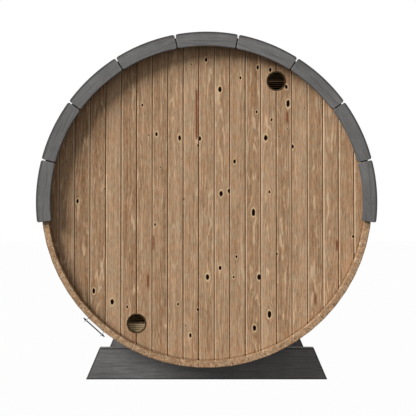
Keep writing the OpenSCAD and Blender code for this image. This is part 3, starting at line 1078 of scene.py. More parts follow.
def put_attribute(mesh: bpy.types.Mesh, name: str, kind: str, values: Sequence[Any]) -> None:
    """Store one value for each vertex of a mesh.

    Args:
        mesh: Mesh that gets the attribute.
        name: Name of the attribute.
        kind: FLOAT or FLOAT_VECTOR.
        values: One number or vector for each vertex.
    """
    layer = mesh.attributes.new(name, kind, "POINT")
    if kind == "FLOAT":
        layer.data.foreach_set("value", list(values))
    else:
        layer.data.foreach_set("vector", [c for v in values for c in v])


@dataclass
class Timber:
    """Planks gathered into one mesh, each with its own grain, seed, half width, knots and stain."""

    points: list[Vector] = field(default_factory=list)
    faces: list[list[int]] = field(default_factory=list)
    grain: list[Vector] = field(default_factory=list)
    marks: dict[str, list[Any]] = field(default_factory=dict)

    def add(
        self,
        solid: Solid,
        grain_of: Callable[[Vector], Vector],
        seed: float = 0.0,
        half: float = 1.0,
        knots: Sequence[Sequence[float]] = (),
        stain: Sequence[float] = NO_MARK,
    ) -> None:
        """Add one plank.

        Args:
            solid: The plank's solid, which is freed.
            grain_of: Gives a point's place across, in and along the plank.
            seed: Number from 0 to 1 that sets this plank's figure.
            half: Half width, where its joint darkens, or 1 for none.
            knots: Place across and along, and radius, of each knot.
            stain: Place across and along, and half length, of a resin streak.
        """
        self.grain += [grain_of(v.co) for v in solid.verts]
        count = len(solid.verts)
        slots = list(knots)[:KNOT_SLOTS] + [NO_MARK] * (KNOT_SLOTS - len(knots))
        values = {"seed": seed, "half": half, "stain": stain}
        values |= {f"knot_{k}": spot for k, spot in enumerate(slots)}
        for name, value in values.items():
            self.marks.setdefault(name, []).extend([value] * count)
        take_mesh(solid, self.points, self.faces)

    def build(self, name: str, skip: Sequence[str] = ()) -> Piece:
        """Make the object.

        Args:
            name: Name of the object.
            skip: Attributes that a node tree stores later.

        Returns:
            The object at the origin.
        """
        piece = new_object(name, self.points, self.faces)
        put_attribute(piece.data, "grain", "FLOAT_VECTOR", self.grain)
        for label, values in self.marks.items():
            if label not in skip:
                kind = "FLOAT" if label in ("seed", "half") else "FLOAT_VECTOR"
                put_attribute(piece.data, label, kind, values)
        return piece


INSTANCE_MARKS = ("seed", "stain", *(f"knot_{k}" for k in range(KNOT_SLOTS)))


def scattered_knots(dice: random.Random, half: float, low: float, high: float) -> list[Spot]:
    """Knots at random places on a plank.

    Args:
        dice: Seeded random numbers.
        half: Half width of the plank.
        low: Lower end of the plank, along its grain.
        high: Upper end of the plank.

    Returns:
        Place across and along, and radius, of each knot.
    """
    count = min(KNOT_SLOTS, int((high - low) * dice.uniform(*KNOTS_PER_METRE)))
    sizes = (KnotSize.TINY, KnotSize.SMALL, KnotSize.SMALL, KnotSize.MEDIUM, KnotSize.LARGE)
    return [
        (
            dice.uniform(-KNOT_ASIDE, KNOT_ASIDE) * half,
            dice.uniform(low, high),
            dice.choice(sizes).value * MM,
        )
        for _ in range(count)
    ]


@dataclass(frozen=True)
class Barrel:
    """Main sizes of the barrel in metres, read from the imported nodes."""

    axis_z: float
    stave_out: float
    half_len: float
    wall_face: float
    wall_back: float
    wall_r: float
    stave_n: int = 60
    stave_t: float = 36 * MM

    @classmethod
    def from_frame(cls) -> "Barrel":
        """Read the sizes from the frame.

        Returns:
            The barrel.
        """
        high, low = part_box("staves_top")[1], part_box("staves_bottom")[0]
        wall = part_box("rear_wall_middle")
        axis_z = (high.z + low.z) / 2
        return cls(
            axis_z=axis_z,
            stave_out=(high.z - low.z) / 2,
            half_len=high.y,
            wall_face=-wall[0].y,
            wall_back=-wall[1].y,
            wall_r=wall[1].z - axis_z,
        )

    @property
    def stave_in(self) -> float:
        """Distance of the staves' inner faces from the axis."""
        return self.stave_out - self.stave_t

    @property
    def stave_half(self) -> float:
        """Half the angle that a stave takes up."""
        return math.pi / self.stave_n

    def lifted(self, outline: Sequence[Point]) -> list[Point]:
        """Move an outline about the axis up to the axis's height."""
        return [(x, z + self.axis_z) for x, z in outline]


def ring_tree() -> Tree:
    """Make the tree that turns one plank about the barrel's axis into a run of planks.

    Returns:
        The tree.
    """
    inputs = {
        "Geometry": "Geometry", "Count": "Int", "First Angle": "Float", "Pitch": "Float",
        "Axis Height": "Float", "Seed": "Int", "Knot Low": "Vector", "Knot High": "Vector",
        "Material": "Material",
    }
    tree = node_group("run_of_planks", "GeometryNodeTree", inputs, {"Geometry": "Geometry"})
    given = add(tree, "NodeGroupInput").node.outputs
    points = add(tree, "GeometryNodeMeshLine", {"Count": given["Count"], "Offset": NO_MARK})
    number = add(tree, "GeometryNodeInputIndex")
    turn = add(tree, MATH, (number, given["Pitch"], given["First Angle"]), **TIMES_PLUS)
    turn = add(tree, JOIN, {1: turn})
    turn = add(tree, "FunctionNodeEulerToRotation", (turn,))
    planks = {"Points": points, "Instance": given["Geometry"], "Rotation": turn}
    made = add(tree, "GeometryNodeInstanceOnPoints", planks)
    seed = add(tree, RANDOM, {8: given["Seed"]}, out=1, data_type="FLOAT")
    kept = {"Geometry": made, "Name": "seed", "Value": seed}
    made = add(tree, STORE, kept, data_type="FLOAT", domain="INSTANCE")
    for k in range(KNOT_SLOTS - 2):
        own = add(tree, "FunctionNodeIntegerMath", (given["Seed"], k + 1), **PLUS)
        spot = {0: given["Knot Low"], 1: given["Knot High"], 8: own}
        spot = add(tree, RANDOM, spot, out=0, data_type="FLOAT_VECTOR")
        kept = {"Geometry": made, "Name": f"knot_{k}", "Value": spot}
        made = add(tree, STORE, kept, data_type="FLOAT_VECTOR", domain="INSTANCE")
    made = add(tree, "GeometryNodeRealizeInstances", {"Geometry": made})
    up = add(tree, JOIN, {2: given["Axis Height"]})
    made = add(tree, "GeometryNodeTransform", {"Geometry": made, "Translation": up})
    made = add(tree, "GeometryNodeSetMaterial", {"Geometry": made, "Material": given["Material"]})
    add(tree, "NodeGroupOutput", {"Geometry": made})
    return tree


@dataclass
class StaveShell:
    """Ring of bead-and-cove staves with a groove near each end for the walls."""

    barrel: Barrel
    finishes: Finishes
    tree: Tree
    bead_r: float = 8 * MM
    gap: float = 0.4 * MM
    ease: float = 1.6 * MM
    end_ease: float = 1.5 * MM
    groove_slack: float = 0.3 * MM
    groove_sides: int = 360
    joint_set: float = 0.64 * MM
    # Knots: how far from the middle they lie; a radius below 0 means none
    knot_aside: float = 45 * MM
    knot_reach: float = 1.4
    knot_r: Point = (-8 * MM, 9 * MM)
    seed: int = 11
    seed_step: int = 20

    def outline(self) -> list[Point]:
        """Outline of the top stave about the axis: bead at +X, cove at -X, eased corners.

        Returns:
            Points in X and Z.
        """
        b = self.barrel
        slope = math.tan(b.stave_half)
        low, high = b.stave_in * slope - self.gap / 2, b.stave_out * slope - self.gap / 2
        mid_z = (b.stave_in + b.stave_out) / 2
        mid_x = mid_z * slope
        e = self.ease
        swing = [math.radians(-80 + 20 * k) for k in range(9)]
        bead = [(mid_x + self.bead_r * math.cos(t), mid_z + self.bead_r * math.sin(t)) for t in swing]
        hollow = self.bead_r + self.gap
        cove = [(-mid_x + hollow * math.cos(t), mid_z + hollow * math.sin(t)) for t in reversed(swing)]
        return [
            (-low + e, b.stave_in),
            (low - e, b.stave_in),
            (low, b.stave_in + e),
            *bead,
            (high, b.stave_out - e),
            (high - e, b.stave_out),
            (-high + e, b.stave_out),
            (-high, b.stave_out - e),
            *cove,
            (-low, b.stave_in + e),
        ]

    def grooved(self) -> Solid:
        """One stave at the top of the ring, with its two grooves cut.

        Returns:
            The stave's solid.
        """
        b = self.barrel
        near, far = b.wall_back - self.groove_slack, b.wall_face + self.groove_slack
        groove_r = b.wall_r + self.groove_slack
        discs = [
            lathe([(groove_r, low), (groove_r, high)], Vector(), BARREL_AXIS, self.groove_sides)
            for low, high in ((-far, -near), (near, far))
        ]
        return cut_out(prism(self.outline(), -b.half_len, b.half_len, self.end_ease), discs)

    def build(self) -> None:
        """Build the four quarters of the shell."""
        b = self.barrel
        middle = (b.stave_in + b.stave_out) / 2
        half = middle * math.tan(b.stave_half) + self.joint_set
        one = Timber()
        one.add(self.grooved(), lambda p: Vector((p.x, p.z - middle, p.y)), half=half)
        quarter = b.stave_n // 4
        reach = b.half_len * self.knot_reach
        for g, name in enumerate(("staves_top", "staves_right", "staves_bottom", "staves_left")):
            piece = one.build(f"{name}_beaded", skip=INSTANCE_MARKS)
            sizes = {
                "Count": quarter,
                "First Angle": (g * quarter - quarter // 2) * 2 * b.stave_half,
                "Pitch": 2 * b.stave_half,
                "Axis Height": b.axis_z,
                "Seed": self.seed + self.seed_step * g,
                "Knot Low": (-self.knot_aside, -reach, self.knot_r[0]),
                "Knot High": (self.knot_aside, reach, self.knot_r[1]),
                "Material": self.finishes.wood,
            }
            grow(piece, self.tree, sizes)
            dress(piece, self.finishes.wood, Slot.WOOD, name)


@dataclass(frozen=True)
class Mark:
    """A knot or resin streak on the rear wall, as seen in the photograph's frame of 416 pixels."""

    px: float
    py: float
    size: KnotSize = KnotSize.MEDIUM
    tall: bool = False
    run: float = 0.0


@dataclass(frozen=True)
class PhotoScale:
    """Ties the photograph's frame to the face of the rear wall."""

    axis_px: float = 206.8
    axis_py: float = 202.2
    metres_per_px: float = 6.077 * MM

    def across(self, px: float) -> float:
        """Distance to the right of the axis, in metres."""
        return (px - self.axis_px) * self.metres_per_px

    def above(self, py: float) -> float:
        """Height above the axis, in metres."""
        return (self.axis_py - py) * self.metres_per_px


# Place of each knot, and True where it is tall
SEEN_KNOTS = {
    KnotSize.LARGE: (
        (288.3, 103.5, True), (265.9, 138.0), (221.3, 193.7), (253.6, 212.6, True), (207.6, 277.2),
        (259.2, 277.3), (112.5, 301.8), (269.5, 314.3, True), (254.5, 328.0), (220.0, 89.1),
    ),
    KnotSize.MEDIUM: (
        (206.2, 59.5), (258.0, 67.2), (270.5, 69.7), (286.7, 86.6), (156.5, 134.2), (179.7, 138.0, True),
        (200.1, 138.6), (292.9, 146.7), (234.7, 161.6), (229.1, 191.2), (77.7, 201.4), (94.2, 291.0, True),
        (220.2, 268.0), (190.5, 335.3),
    ),
    KnotSize.SMALL: (
        (240.6, 77.7), (256.8, 111.8), (271.8, 119.9), (198.2, 145.6), (142.4, 105.2), (127.5, 306.9),
        (178.2, 304.1), (197.9, 309.5), (236.6, 256.8), (233.7, 277.2), (276.9, 254.0), (353.1, 236.8),
        (269.5, 192.2), (155.2, 224.7),
    ),
    KnotSize.TINY: (
        (160.3, 167.3), (206.5, 188.1), (104.8, 189.0), (304.8, 107.8), (288.0, 129.1), (279.5, 136.3),
        (148.8, 135.4), (191.6, 64.0), (184.0, 199.2), (121.4, 281.4), (185.8, 325.4),
    ),
}
REAR_KNOTS = tuple(
    Mark(px, py, size, *tall) for size, places in SEEN_KNOTS.items() for px, py, *tall in places
)
REAR_STREAKS = (
    Mark(196.7, 114.0, run=27.0), Mark(148.2, 281.0, run=9.0), Mark(153.7, 243.0, run=10.0),
    Mark(315.4, 299.0, run=8.0), Mark(337.0, 245.5, run=8.0), Mark(287.6, 117.0, run=8.0),
)


@dataclass
class BoardWall:
    """Vertical tongued boards with eased edges that close an end of the barrel."""

    barrel: Barrel
    finishes: Finishes
    board_w: float = 94.4 * MM
    gap: float = 0.6 * MM
    ease: float = 5.0 * MM
    last: int = 10
    door_side: int = 3
    rim_slack: float = 0.5 * MM
    vent_r: float = 60.5 * MM
    vent_reach: float = 100 * MM
    vent_sides: int = 96
    tall_knot: float = 0.45
    scale: PhotoScale = PhotoScale()
    dice: random.Random = field(default_factory=lambda: random.Random(5))

    def board(self, k: int, side: int, low: float | None, high: float | None) -> Solid:
        """One board, its ends cut to the barrel's circle or level.

        Args:
            k: Place of the board, 0 at the middle.
            side: -1 at the rear, 1 at the front.
            low: Level of its lower end, or None for the circle.
            high: Level of its upper end, or None for the circle.

        Returns:
            The board's solid.
        """
        b = self.barrel
        half = self.board_w / 2 - self.gap / 2
        middle = k * self.board_w
        edge = b.wall_r - self.rim_slack
        left, right = max(middle - half, -edge), min(middle + half, edge)
        e = self.ease
        curl = [(1.1 * e, 0.0), (0.9 * e, 0.1 * e), (0.0, e)]
        face = [(left + x, y) for x, y in reversed(curl)] + [(right - x, y) for x, y in curl]
        depth = b.wall_face - b.wall_back
        plan = face + [(x, depth - y) for x, y in reversed(face)]
        places = [(x, side * (b.wall_face - y)) for x, y in plan]
        rise = [math.sqrt(max(b.wall_r**2 - x * x, 0.0)) for x, _ in places]
        foot = [b.axis_z - r if low is None else low for r in rise]
        head = [b.axis_z + r if high is None else high for r in rise]
        return loft([(*p, z) for p, z in zip(places, foot)], [(*p, z) for p, z in zip(places, head)])

    def vented(self, solid: Solid, vents: Sequence[Point]) -> Solid:
        """Cut the round vents through a board.

        Args:
            solid: The board, which is freed.
            vents: Middle of each vent in X and Z.

        Returns:
            The board with its vents.
        """
        bore = [(self.vent_r, 0.0), (self.vent_r, 3 * self.vent_reach)]
        front = -self.barrel.wall_face - self.vent_reach
        places = [Vector((x, front, z)) for x, z in vents]
        return cut_out(solid, [lathe(bore, place, BARREL_AXIS, self.vent_sides) for place in places])

    def place_of(self, mark: Mark) -> int:
        """Number of the board that a mark lies on."""
        return round(self.scale.across(mark.px) / self.board_w)

    def seen_knots(self, k: int) -> list[Spot]:
        """Knots of one rear board; a tall knot is two that run together.

        Args:
            k: Place of the board.

        Returns:
            Place across and along, and radius, of each knot.
        """
        spots = []
        for mark in REAR_KNOTS:
            if self.place_of(mark) != k:
                continue
            x = self.scale.across(mark.px) - k * self.board_w
            z, r = self.scale.above(mark.py), mark.size.value * MM
            lift = self.tall_knot * r
            spots += [(x, z + lift, r), (x, z - lift, r)] if mark.tall else [(x, z, r)]
        return spots

    def seen_stain(self, k: int) -> Spot:
        """Resin streak of one rear board.

        Args:
            k: Place of the board.

        Returns:
            Place across and along, and half length, or zeros for none.
        """
        for mark in REAR_STREAKS:
            if self.place_of(mark) == k:
                x = self.scale.across(mark.px) - k * self.board_w
                return (x, self.scale.above(mark.py), mark.run * self.scale.metres_per_px)
        return NO_MARK

    def gather(
        self,
        timber: Timber,
        k: int,
        side: int,
        low: float | None = None,
        high: float | None = None,
        vents: Sequence[Point] = (),
    ) -> None:
        """Add one board with its figure.

        Args:
            timber: Planks that the board joins.
            k: Place of the board.
            side: -1 at the rear, 1 at the front.
            low: Level of its lower end, or None.
            high: Level of its upper end, or None.
            vents: Middles of the vents that cut it.
        """
        b = self.barrel
        solid = self.board(k, side, low, high)
        if vents:
            solid = self.vented(solid, vents)
        face = side * b.wall_face

        def grain_of(p: Vector) -> Vector:
            """Place across, in and along the board."""
            return Vector((p.x - k * self.board_w, abs(p.y - face), p.z - b.axis_z))

        half = self.board_w / 2
        if side < 0:
            knots, stain = self.seen_knots(k), self.seen_stain(k)
        else:
            knots, stain = scattered_knots(self.dice, half, -b.wall_r, b.wall_r), NO_MARK
        timber.add(solid, grain_of, self.dice.random(), half, knots, stain)

    def build_rear(self, vents: Sequence[Point]) -> None:
        """Build the rear wall with its two vents.

        Args:
            vents: Middle of each vent in X and Z.
        """
        groups = {
            "rear_wall_left": range(-self.last, -self.door_side),
            "rear_wall_middle": range(-self.door_side, self.door_side + 1),
            "rear_wall_right": range(self.door_side + 1, self.last + 1),
        }
        for name, places in groups.items():
            timber = Timber()
            for k in places:
                reach = self.board_w / 2 + self.vent_r
                cut = [v for v in vents if abs(v[0] - k * self.board_w) < reach]
                self.gather(timber, k, -1, vents=cut)
            dress(timber.build(f"{name}_boards"), self.finishes.wood, Slot.WOOD, name)

    def build_front(self, open_low: float, open_top: float) -> None:
        """Build the front wall round the door's opening.

        Args:
            open_low: Level of the opening's lower end.
            open_top: Level of its upper end.
        """
        sides = {
            "front_wall_left": (range(-self.last, -self.door_side), None, None),
            "front_wall_right": (range(self.door_side + 1, self.last + 1), None, None),
            "front_wall_over_door": (range(-self.door_side, self.door_side + 1), open_top, None),
            "front_wall_under_door": (range(-self.door_side, self.door_side + 1), None, open_low),
        }
        for name, (places, low, high) in sides.items():
            timber = Timber()
            for k in places:
                self.gather(timber, k, 1, low, high)
            dress(timber.build(f"{name}_boards"), self.finishes.wood, Slot.WOOD, name)


@dataclass
class Vents:
    """Round vents: a moulded grille in the wall and a wooden slide behind it."""

    finishes: Finishes
    ring: float = 9 * MM
    ring_sides: int = 64
    lip: float = 2 * MM
    bar_pitch: float = 12.5 * MM
    bar: float = 2 * MM
    mid_bar: float = 6 * MM
    bar_set: float = 2 * MM
    bar_deep: float = 4 * MM
    bar_ease: float = 0.5 * MM
    slide_t: float = 12 * MM
    slide_h: float = 64 * MM
    runner_w: float = 18 * MM
    runner_lip: float = 6 * MM
    runner_short: float = 20 * MM
    slide_knot: Spot = (20 * MM, 35 * MM, 4 * MM)
    slack: float = 0.3 * MM
    ease: float = 1.5 * MM
    dice: random.Random = field(default_factory=lambda: random.Random(8))

    def middle(self, name: str) -> Point:
        """Middle of a vent in X and Z."""
        low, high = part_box(f"{name}_vent_grille")
        return ((low.x + high.x) / 2, (low.z + high.z) / 2)

    def grille(self, name: str) -> None:
        """Build one grille: a lipped ring, thin bars and a thicker bar across the middle.

        Args:
            name: upper or lower.
        """
        low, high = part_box(f"{name}_vent_grille")
        x, z = self.middle(name)
        outer = (high.x - low.x) / 2
        inner = outer - self.ring
        depth = high.y - low.y
        lip = self.lip
        profile = [
            (inner, lip), (inner + lip / 2, lip / 4), (inner + lip, 0.0), (outer - lip, 0.0),
            (outer - lip / 2, lip / 4), (outer, lip), (outer, depth), (inner, depth),
        ]
        solids = [lathe(profile, Vector((x, low.y, z)), BARREL_AXIS, self.ring_sides, closed=True)]
        count = int((inner - self.bar) / self.bar_pitch)
        for k in range(-count, count + 1):
            tall = self.mid_bar if k == 0 else self.bar
            rise = k * self.bar_pitch
            reach = math.sqrt(inner**2 - (abs(rise) + tall / 2) ** 2) + self.ring / 3
            near = (x - reach, low.y + self.bar_set, z + rise - tall / 2)
            far = (x + reach, low.y + self.bar_set + self.bar_deep, z + rise + tall / 2)
            solids.append(block(near, far, self.bar_ease))
        piece = join_plain(f"{name}_vent_grille_moulded", solids)
        dress(piece, self.finishes.plastic, Slot.PLASTIC, f"{name}_vent_grille")

    def slide(self, name: str) -> None:
        """Build one slide between two rebated runners: half shut below, open above.

        Args:
            name: upper or lower.
        """
        low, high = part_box(f"{name}_vent_slide")
        x, z = self.middle(name)
        slack = self.slack
        shut = name == "lower"
        top = z if shut else z - self.slide_h
        rail_low = low.z + self.runner_short if shut else low.z
        edge = low.x + self.runner_w
        timber = Timber()

        def lying(p: Vector) -> Vector:
            """Grain that runs across the slide."""
            return Vector((p.z - z, p.y - low.y, p.x - x))

        def upright(p: Vector) -> Vector:
            """Grain that runs along a runner."""
            return Vector((p.x - x, p.y - low.y, p.z - z))

        slab_high = (2 * x - edge - slack, low.y + self.slide_t, top)
        slab = block((edge + slack, low.y, top - self.slide_h), slab_high, self.ease)
        timber.add(slab, lying, self.dice.random(), knots=[self.slide_knot])
        for side in (-1, 1):
            near, far = x + side * (x - edge), x + side * (x - low.x)
            body = block((min(near, far), low.y, rail_low), (max(near, far), high.y, high.z), self.ease)
            timber.add(body, upright, self.dice.random())
            hook = x + side * (x - edge - self.runner_lip)
            tongue = block(
                (min(near, hook), low.y + self.slide_t + 2 * slack, rail_low),
                (max(near, hook), high.y, high.z),
                self.ease / 2,
            )
            timber.add(tongue, upright, self.dice.random())
        # The slides take the paler spruce, painted light that makes them look lit in the shade of their holes
        dress(timber.build(f"{name}_vent_slide_wood"), self.finishes.pale, Slot.WOOD, f"{name}_vent_slide")

    def build(self) -> None:
        """Build both vents."""
        for name in ("upper", "lower"):
            self.grille(name)
            self.slide(name)


@dataclass
class Hoops:
    """Steel bands round the barrel, each closed by a threaded rod between two lugs."""

    barrel: Barrel
    finishes: Finishes
    tight_angle: float = math.radians(42)
    rod_rise: float = 39 * MM
    rod_r: float = 4 * MM
    rod_len: float = 173 * MM
    rod_sides: int = 18
    thread_pitch: float = 2.5 * MM
    thread_depth: float = 0.55 * MM
    lug_span: float = 124 * MM
    lug_t: float = 4 * MM
    nut_w: float = 12.8 * MM
    nut_t: float = 6.4 * MM
    nut_ease: float = 0.12

    def rod(self, foot: Vector, axis: Vector) -> Solid:
        """Threaded rod; its thread is drawn twice as coarse as a real one so that it shows.

        Args:
            foot: Its lower end.
            axis: Its direction.

        Returns:
            The rod's solid.
        """
        turns = int(self.rod_len / self.thread_pitch)
        step = self.rod_len / turns
        core = self.rod_r - self.thread_depth
        profile = [(core, 0.0)]
        for k in range(turns):
            profile += [(self.rod_r, (k + 0.5) * step), (core, (k + 1) * step)]
        return lathe(profile, foot, axis, self.rod_sides)

    def nut(self, foot: Vector, axis: Vector) -> Solid:
        """Hexagon nut with eased faces.

        Args:
            foot: Middle of its lower face.
            axis: Its direction.

        Returns:
            The nut's solid.
        """
        half = self.nut_w / 2 / math.cos(math.pi / 6)
        face, ease = (1 - self.nut_ease) * half, self.nut_ease * self.nut_t
        profile = [(face, 0.0), (half, ease), (half, self.nut_t - ease), (face, self.nut_t)]
        return lathe(profile, foot, axis, 6)

    def build(self) -> None:
        """Dress the bands and build their rods and nuts."""
        b = self.barrel
        out = Vector((-math.sin(self.tight_angle), 0, -math.cos(self.tight_angle)))
        along = Vector((-math.cos(self.tight_angle), 0, math.sin(self.tight_angle)))
        for name in ("rear", "middle", "front"):
            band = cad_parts[f"{name}_hoop"]
            band.data.materials.clear()
            band.data.materials.append(self.finishes.steel)
            low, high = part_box(f"{name}_hoop_bolt")
            centre = Vector((0, (low.y + high.y) / 2, b.axis_z)) + out * (b.stave_out + self.rod_rise)
            tilt = math.asin(self.lug_span / 2 / b.stave_out)
            clear = (b.stave_out + self.rod_rise) * math.tan(tilt) + self.lug_t
            solids = [self.rod(centre - along * self.rod_len / 2, along)]
            for side in (-1, 1):
                solids.append(self.nut(centre + along * side * clear, along * side))
            piece = join_plain(f"{name}_hoop_rod", solids)
            dress(piece, self.finishes.black, Slot.BLACK, f"{name}_hoop_bolt")


def shingle_tree() -> Tree:
    """Make the tree that lays one shingle tab in staggered courses down one side of the roof.

    Returns:
        The tree.
    """
    inputs = {
        "Geometry": "Geometry", "Courses": "Int", "Tabs": "Int", "Tab Width": "Float",
        "Length": "Float", "First Angle": "Float", "Sweep": "Float", "Axis Height": "Float",
        "Seed": "Int", "Material": "Material",
    }
    tree = node_group("courses_of_shingles", "GeometryNodeTree", inputs, {"Geometry": "Geometry"})
    given = add(tree, "NodeGroupInput").node.outputs
    count = (given["Courses"], given["Tabs"])
    count = add(tree, "FunctionNodeIntegerMath", count, **TIMES)
    points = add(tree, "GeometryNodeMeshLine", {"Count": count, "Offset": NO_MARK})
    number = add(tree, "GeometryNodeInputIndex")
    course = add(tree, MATH, (number, given["Tabs"]), **OVER)
    course = add(tree, MATH, (course,), operation="FLOOR")
    first = add(tree, MATH, (course, given["Tabs"]), **TIMES)
    tab = add(tree, MATH, (number, first), **MINUS)
    odd = add(tree, MATH, (course, 2.0), operation="MODULO")
    tab = add(tree, MATH, (odd, -0.5, tab), **TIMES_PLUS)
    ends = []
    for step in (0.0, 1.0):
        end = add(tree, MATH, (tab, step), **PLUS)
        end = add(tree, MATH, (end, given["Tab Width"]), **TIMES)
        ends.append(add(tree, "ShaderNodeClamp", (end, 0.0, given["Length"])))
    wide = add(tree, MATH, (ends[1], ends[0]), **MINUS)
    wide = add(tree, MATH, (wide, given["Tab Width"]), **OVER)
    middle = add(tree, MATH, (ends[0], ends[1]), **PLUS)
    middle = add(tree, MATH, (middle, given["Length"]), **MINUS)
    middle = add(tree, MATH, (middle, 0.5), **TIMES)
    turn = add(tree, MATH, (course, given["Sweep"], given["First Angle"]), **TIMES_PLUS)
    turn = add(tree, JOIN, {1: turn})
    turn = add(tree, "FunctionNodeEulerToRotation", (turn,))
    wide = add(tree, JOIN, (1.0, wide, 1.0))
    tabs = {"Points": points, "Instance": given["Geometry"], "Rotation": turn, "Scale": wide}
    made = add(tree, "GeometryNodeInstanceOnPoints", tabs)
    seed = add(tree, RANDOM, {8: given["Seed"]}, out=1, data_type="FLOAT")
    kept = {"Geometry": made, "Name": "seed", "Value": seed}
    made = add(tree, STORE, kept, data_type="FLOAT", domain="INSTANCE")
    shift = add(tree, JOIN, {1: middle, 2: given["Axis Height"]})
    moved = {"Instances": made, "Translation": shift, "Local Space": False}
    made = add(tree, "GeometryNodeTranslateInstances", moved)
    made = add(tree, "GeometryNodeRealizeInstances", {"Geometry": made})
    made = add(tree, "GeometryNodeSetMaterial", {"Geometry": made, "Material": given["Material"]})
    add(tree, "NodeGroupOutput", {"Geometry": made})
    return tree


@dataclass
class Roof:
    """Courses of felt shingles over the upper half, with a ridge strip."""

    barrel: Barrel
    finishes: Finishes
    courses: int = 12
    ridge_angle: float = math.radians(4)
    eave: float = math.radians(96.2)
    butt: float = 8 * MM
    head: float = 4 * MM
    felt: float = 2.5 * MM
    slot_w: float = 9 * MM
    tabs: int = 6
    tab_ease: float = 1.2 * MM
    tab_steps: int = 4
    felt_steps: int = 96
    cap_steps: int = 8
    turn_gap: float = 0.05 * MM
    turn_out: float = 0.25 * MM
    ridge_caps: int = 8
    cap_gap: float = 0.5 * MM
    cap_slack: float = math.radians(0.1)
    seed: int = 31

    @property
    def inner(self) -> float:
        """Radius of the roof's underside."""
        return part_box("ridge_strip")[1].z - self.barrel.axis_z - self.butt

    def tab(self, side: int, sweep: float, width: float) -> Solid:
        """One tab at the top of the ring: thick lower edge, thin upper edge, eased lower corners.

        Args:
            side: -1 on the left, 1 on the right.
            sweep: Angle of a course.
            width: Pitch of the tabs along the barrel.

        Returns:
            The tab's solid.
        """
        r, steps = self.inner, self.tab_steps
        angles = [side * sweep * (0.5 - k / steps) for k in range(steps + 1)]
        thick = [self.butt + (self.head - self.butt) * k / steps for k in range(steps + 1)]
        ease = self.tab_ease
        top = [on_arc(r + t, a) for a, t in zip(angles, thick)]
        lip = [on_arc(r + self.felt, angles[0]), on_arc(r + self.butt - ease, angles[0])]
        top[0] = on_arc(r + self.butt, angles[0] - side * ease / r)
        under = [on_arc(r + self.felt, a) for a in reversed(angles[1:])]
        half = width / 2 - self.slot_w / 2
        return prism(lip + top + under, -half, half)

    def build(self) -> None:
        """Build the felt, turned down over the stave ends as a thin black strip that also stands for the
        shade in the gaps between the trim boards, the tabs of both sides and the ridge caps.
        """
        b = self.barrel
        length = 2 * b.half_len
        width = length / (self.tabs - 0.5)
        sweep = (self.eave - self.ridge_angle) / self.courses
        tree = shingle_tree()
        for side, name in ((-1, "shingles_left"), (1, "shingles_right")):
            piece = join_plain(f"{name}_tabs", [self.tab(side, sweep, width)])
            sizes = {
                "Courses": self.courses,
                "Tabs": self.tabs,
                "Tab Width": width,
                "Length": length,
                "First Angle": side * (self.eave - sweep / 2),
                "Sweep": -side * sweep,
                "Axis Height": b.axis_z,
                "Seed": self.seed + side,
                "Material": self.finishes.shingle,
            }
            grow(piece, tree, sizes)
            dress(piece, self.finishes.shingle, Slot.SHINGLE, name)
        r = self.inner
        there, back = (-self.eave, self.eave, self.felt_steps), (self.eave, -self.eave, self.felt_steps)
        sheet = arc(r, *there) + arc(r + self.felt, *back)
        # Felt turned over the stave ends: a thin black strip that also stands as painted shade in the gaps
        # between the trim boards
        turned = arc(b.stave_in + self.felt, *there) + arc(r, *back)
        solids = [prism(b.lifted(sheet), -b.half_len, b.half_len)]
        for side in (-1, 1):
            near, far = side * (b.half_len + self.turn_gap), side * (b.half_len + self.turn_out)
            solids.append(prism(b.lifted(turned), min(near, far), max(near, far)))
        dress(join_plain("roof_felt_and_end_shade", solids), self.finishes.shingle, Slot.SHINGLE)
        self.build_ridge(r)

    def build_ridge(self, r: float) -> None:
        """Build the row of caps along the ridge, each thick at one end and thin at the other.

        Args:
            r: Radius of the roof's underside.
        """
        b = self.barrel
        step = 2 * b.half_len / self.ridge_caps
        a = self.ridge_angle - self.cap_slack
        caps = []
        for k in range(self.ridge_caps):
            y = -b.half_len + k * step
            loops = []
            for place, rise in ((y, self.butt), (y + step - self.cap_gap, self.head + self.felt)):
                loop = arc(r + self.felt, -a, a, self.cap_steps) + arc(r + rise, a, -a, self.cap_steps)
                loops.append([(x, place, z) for x, z in b.lifted(loop)])
            caps.append(loft(*loops))
        dress(join_plain("ridge_caps", caps), self.finishes.shingle, Slot.SHINGLE, "ridge_strip")


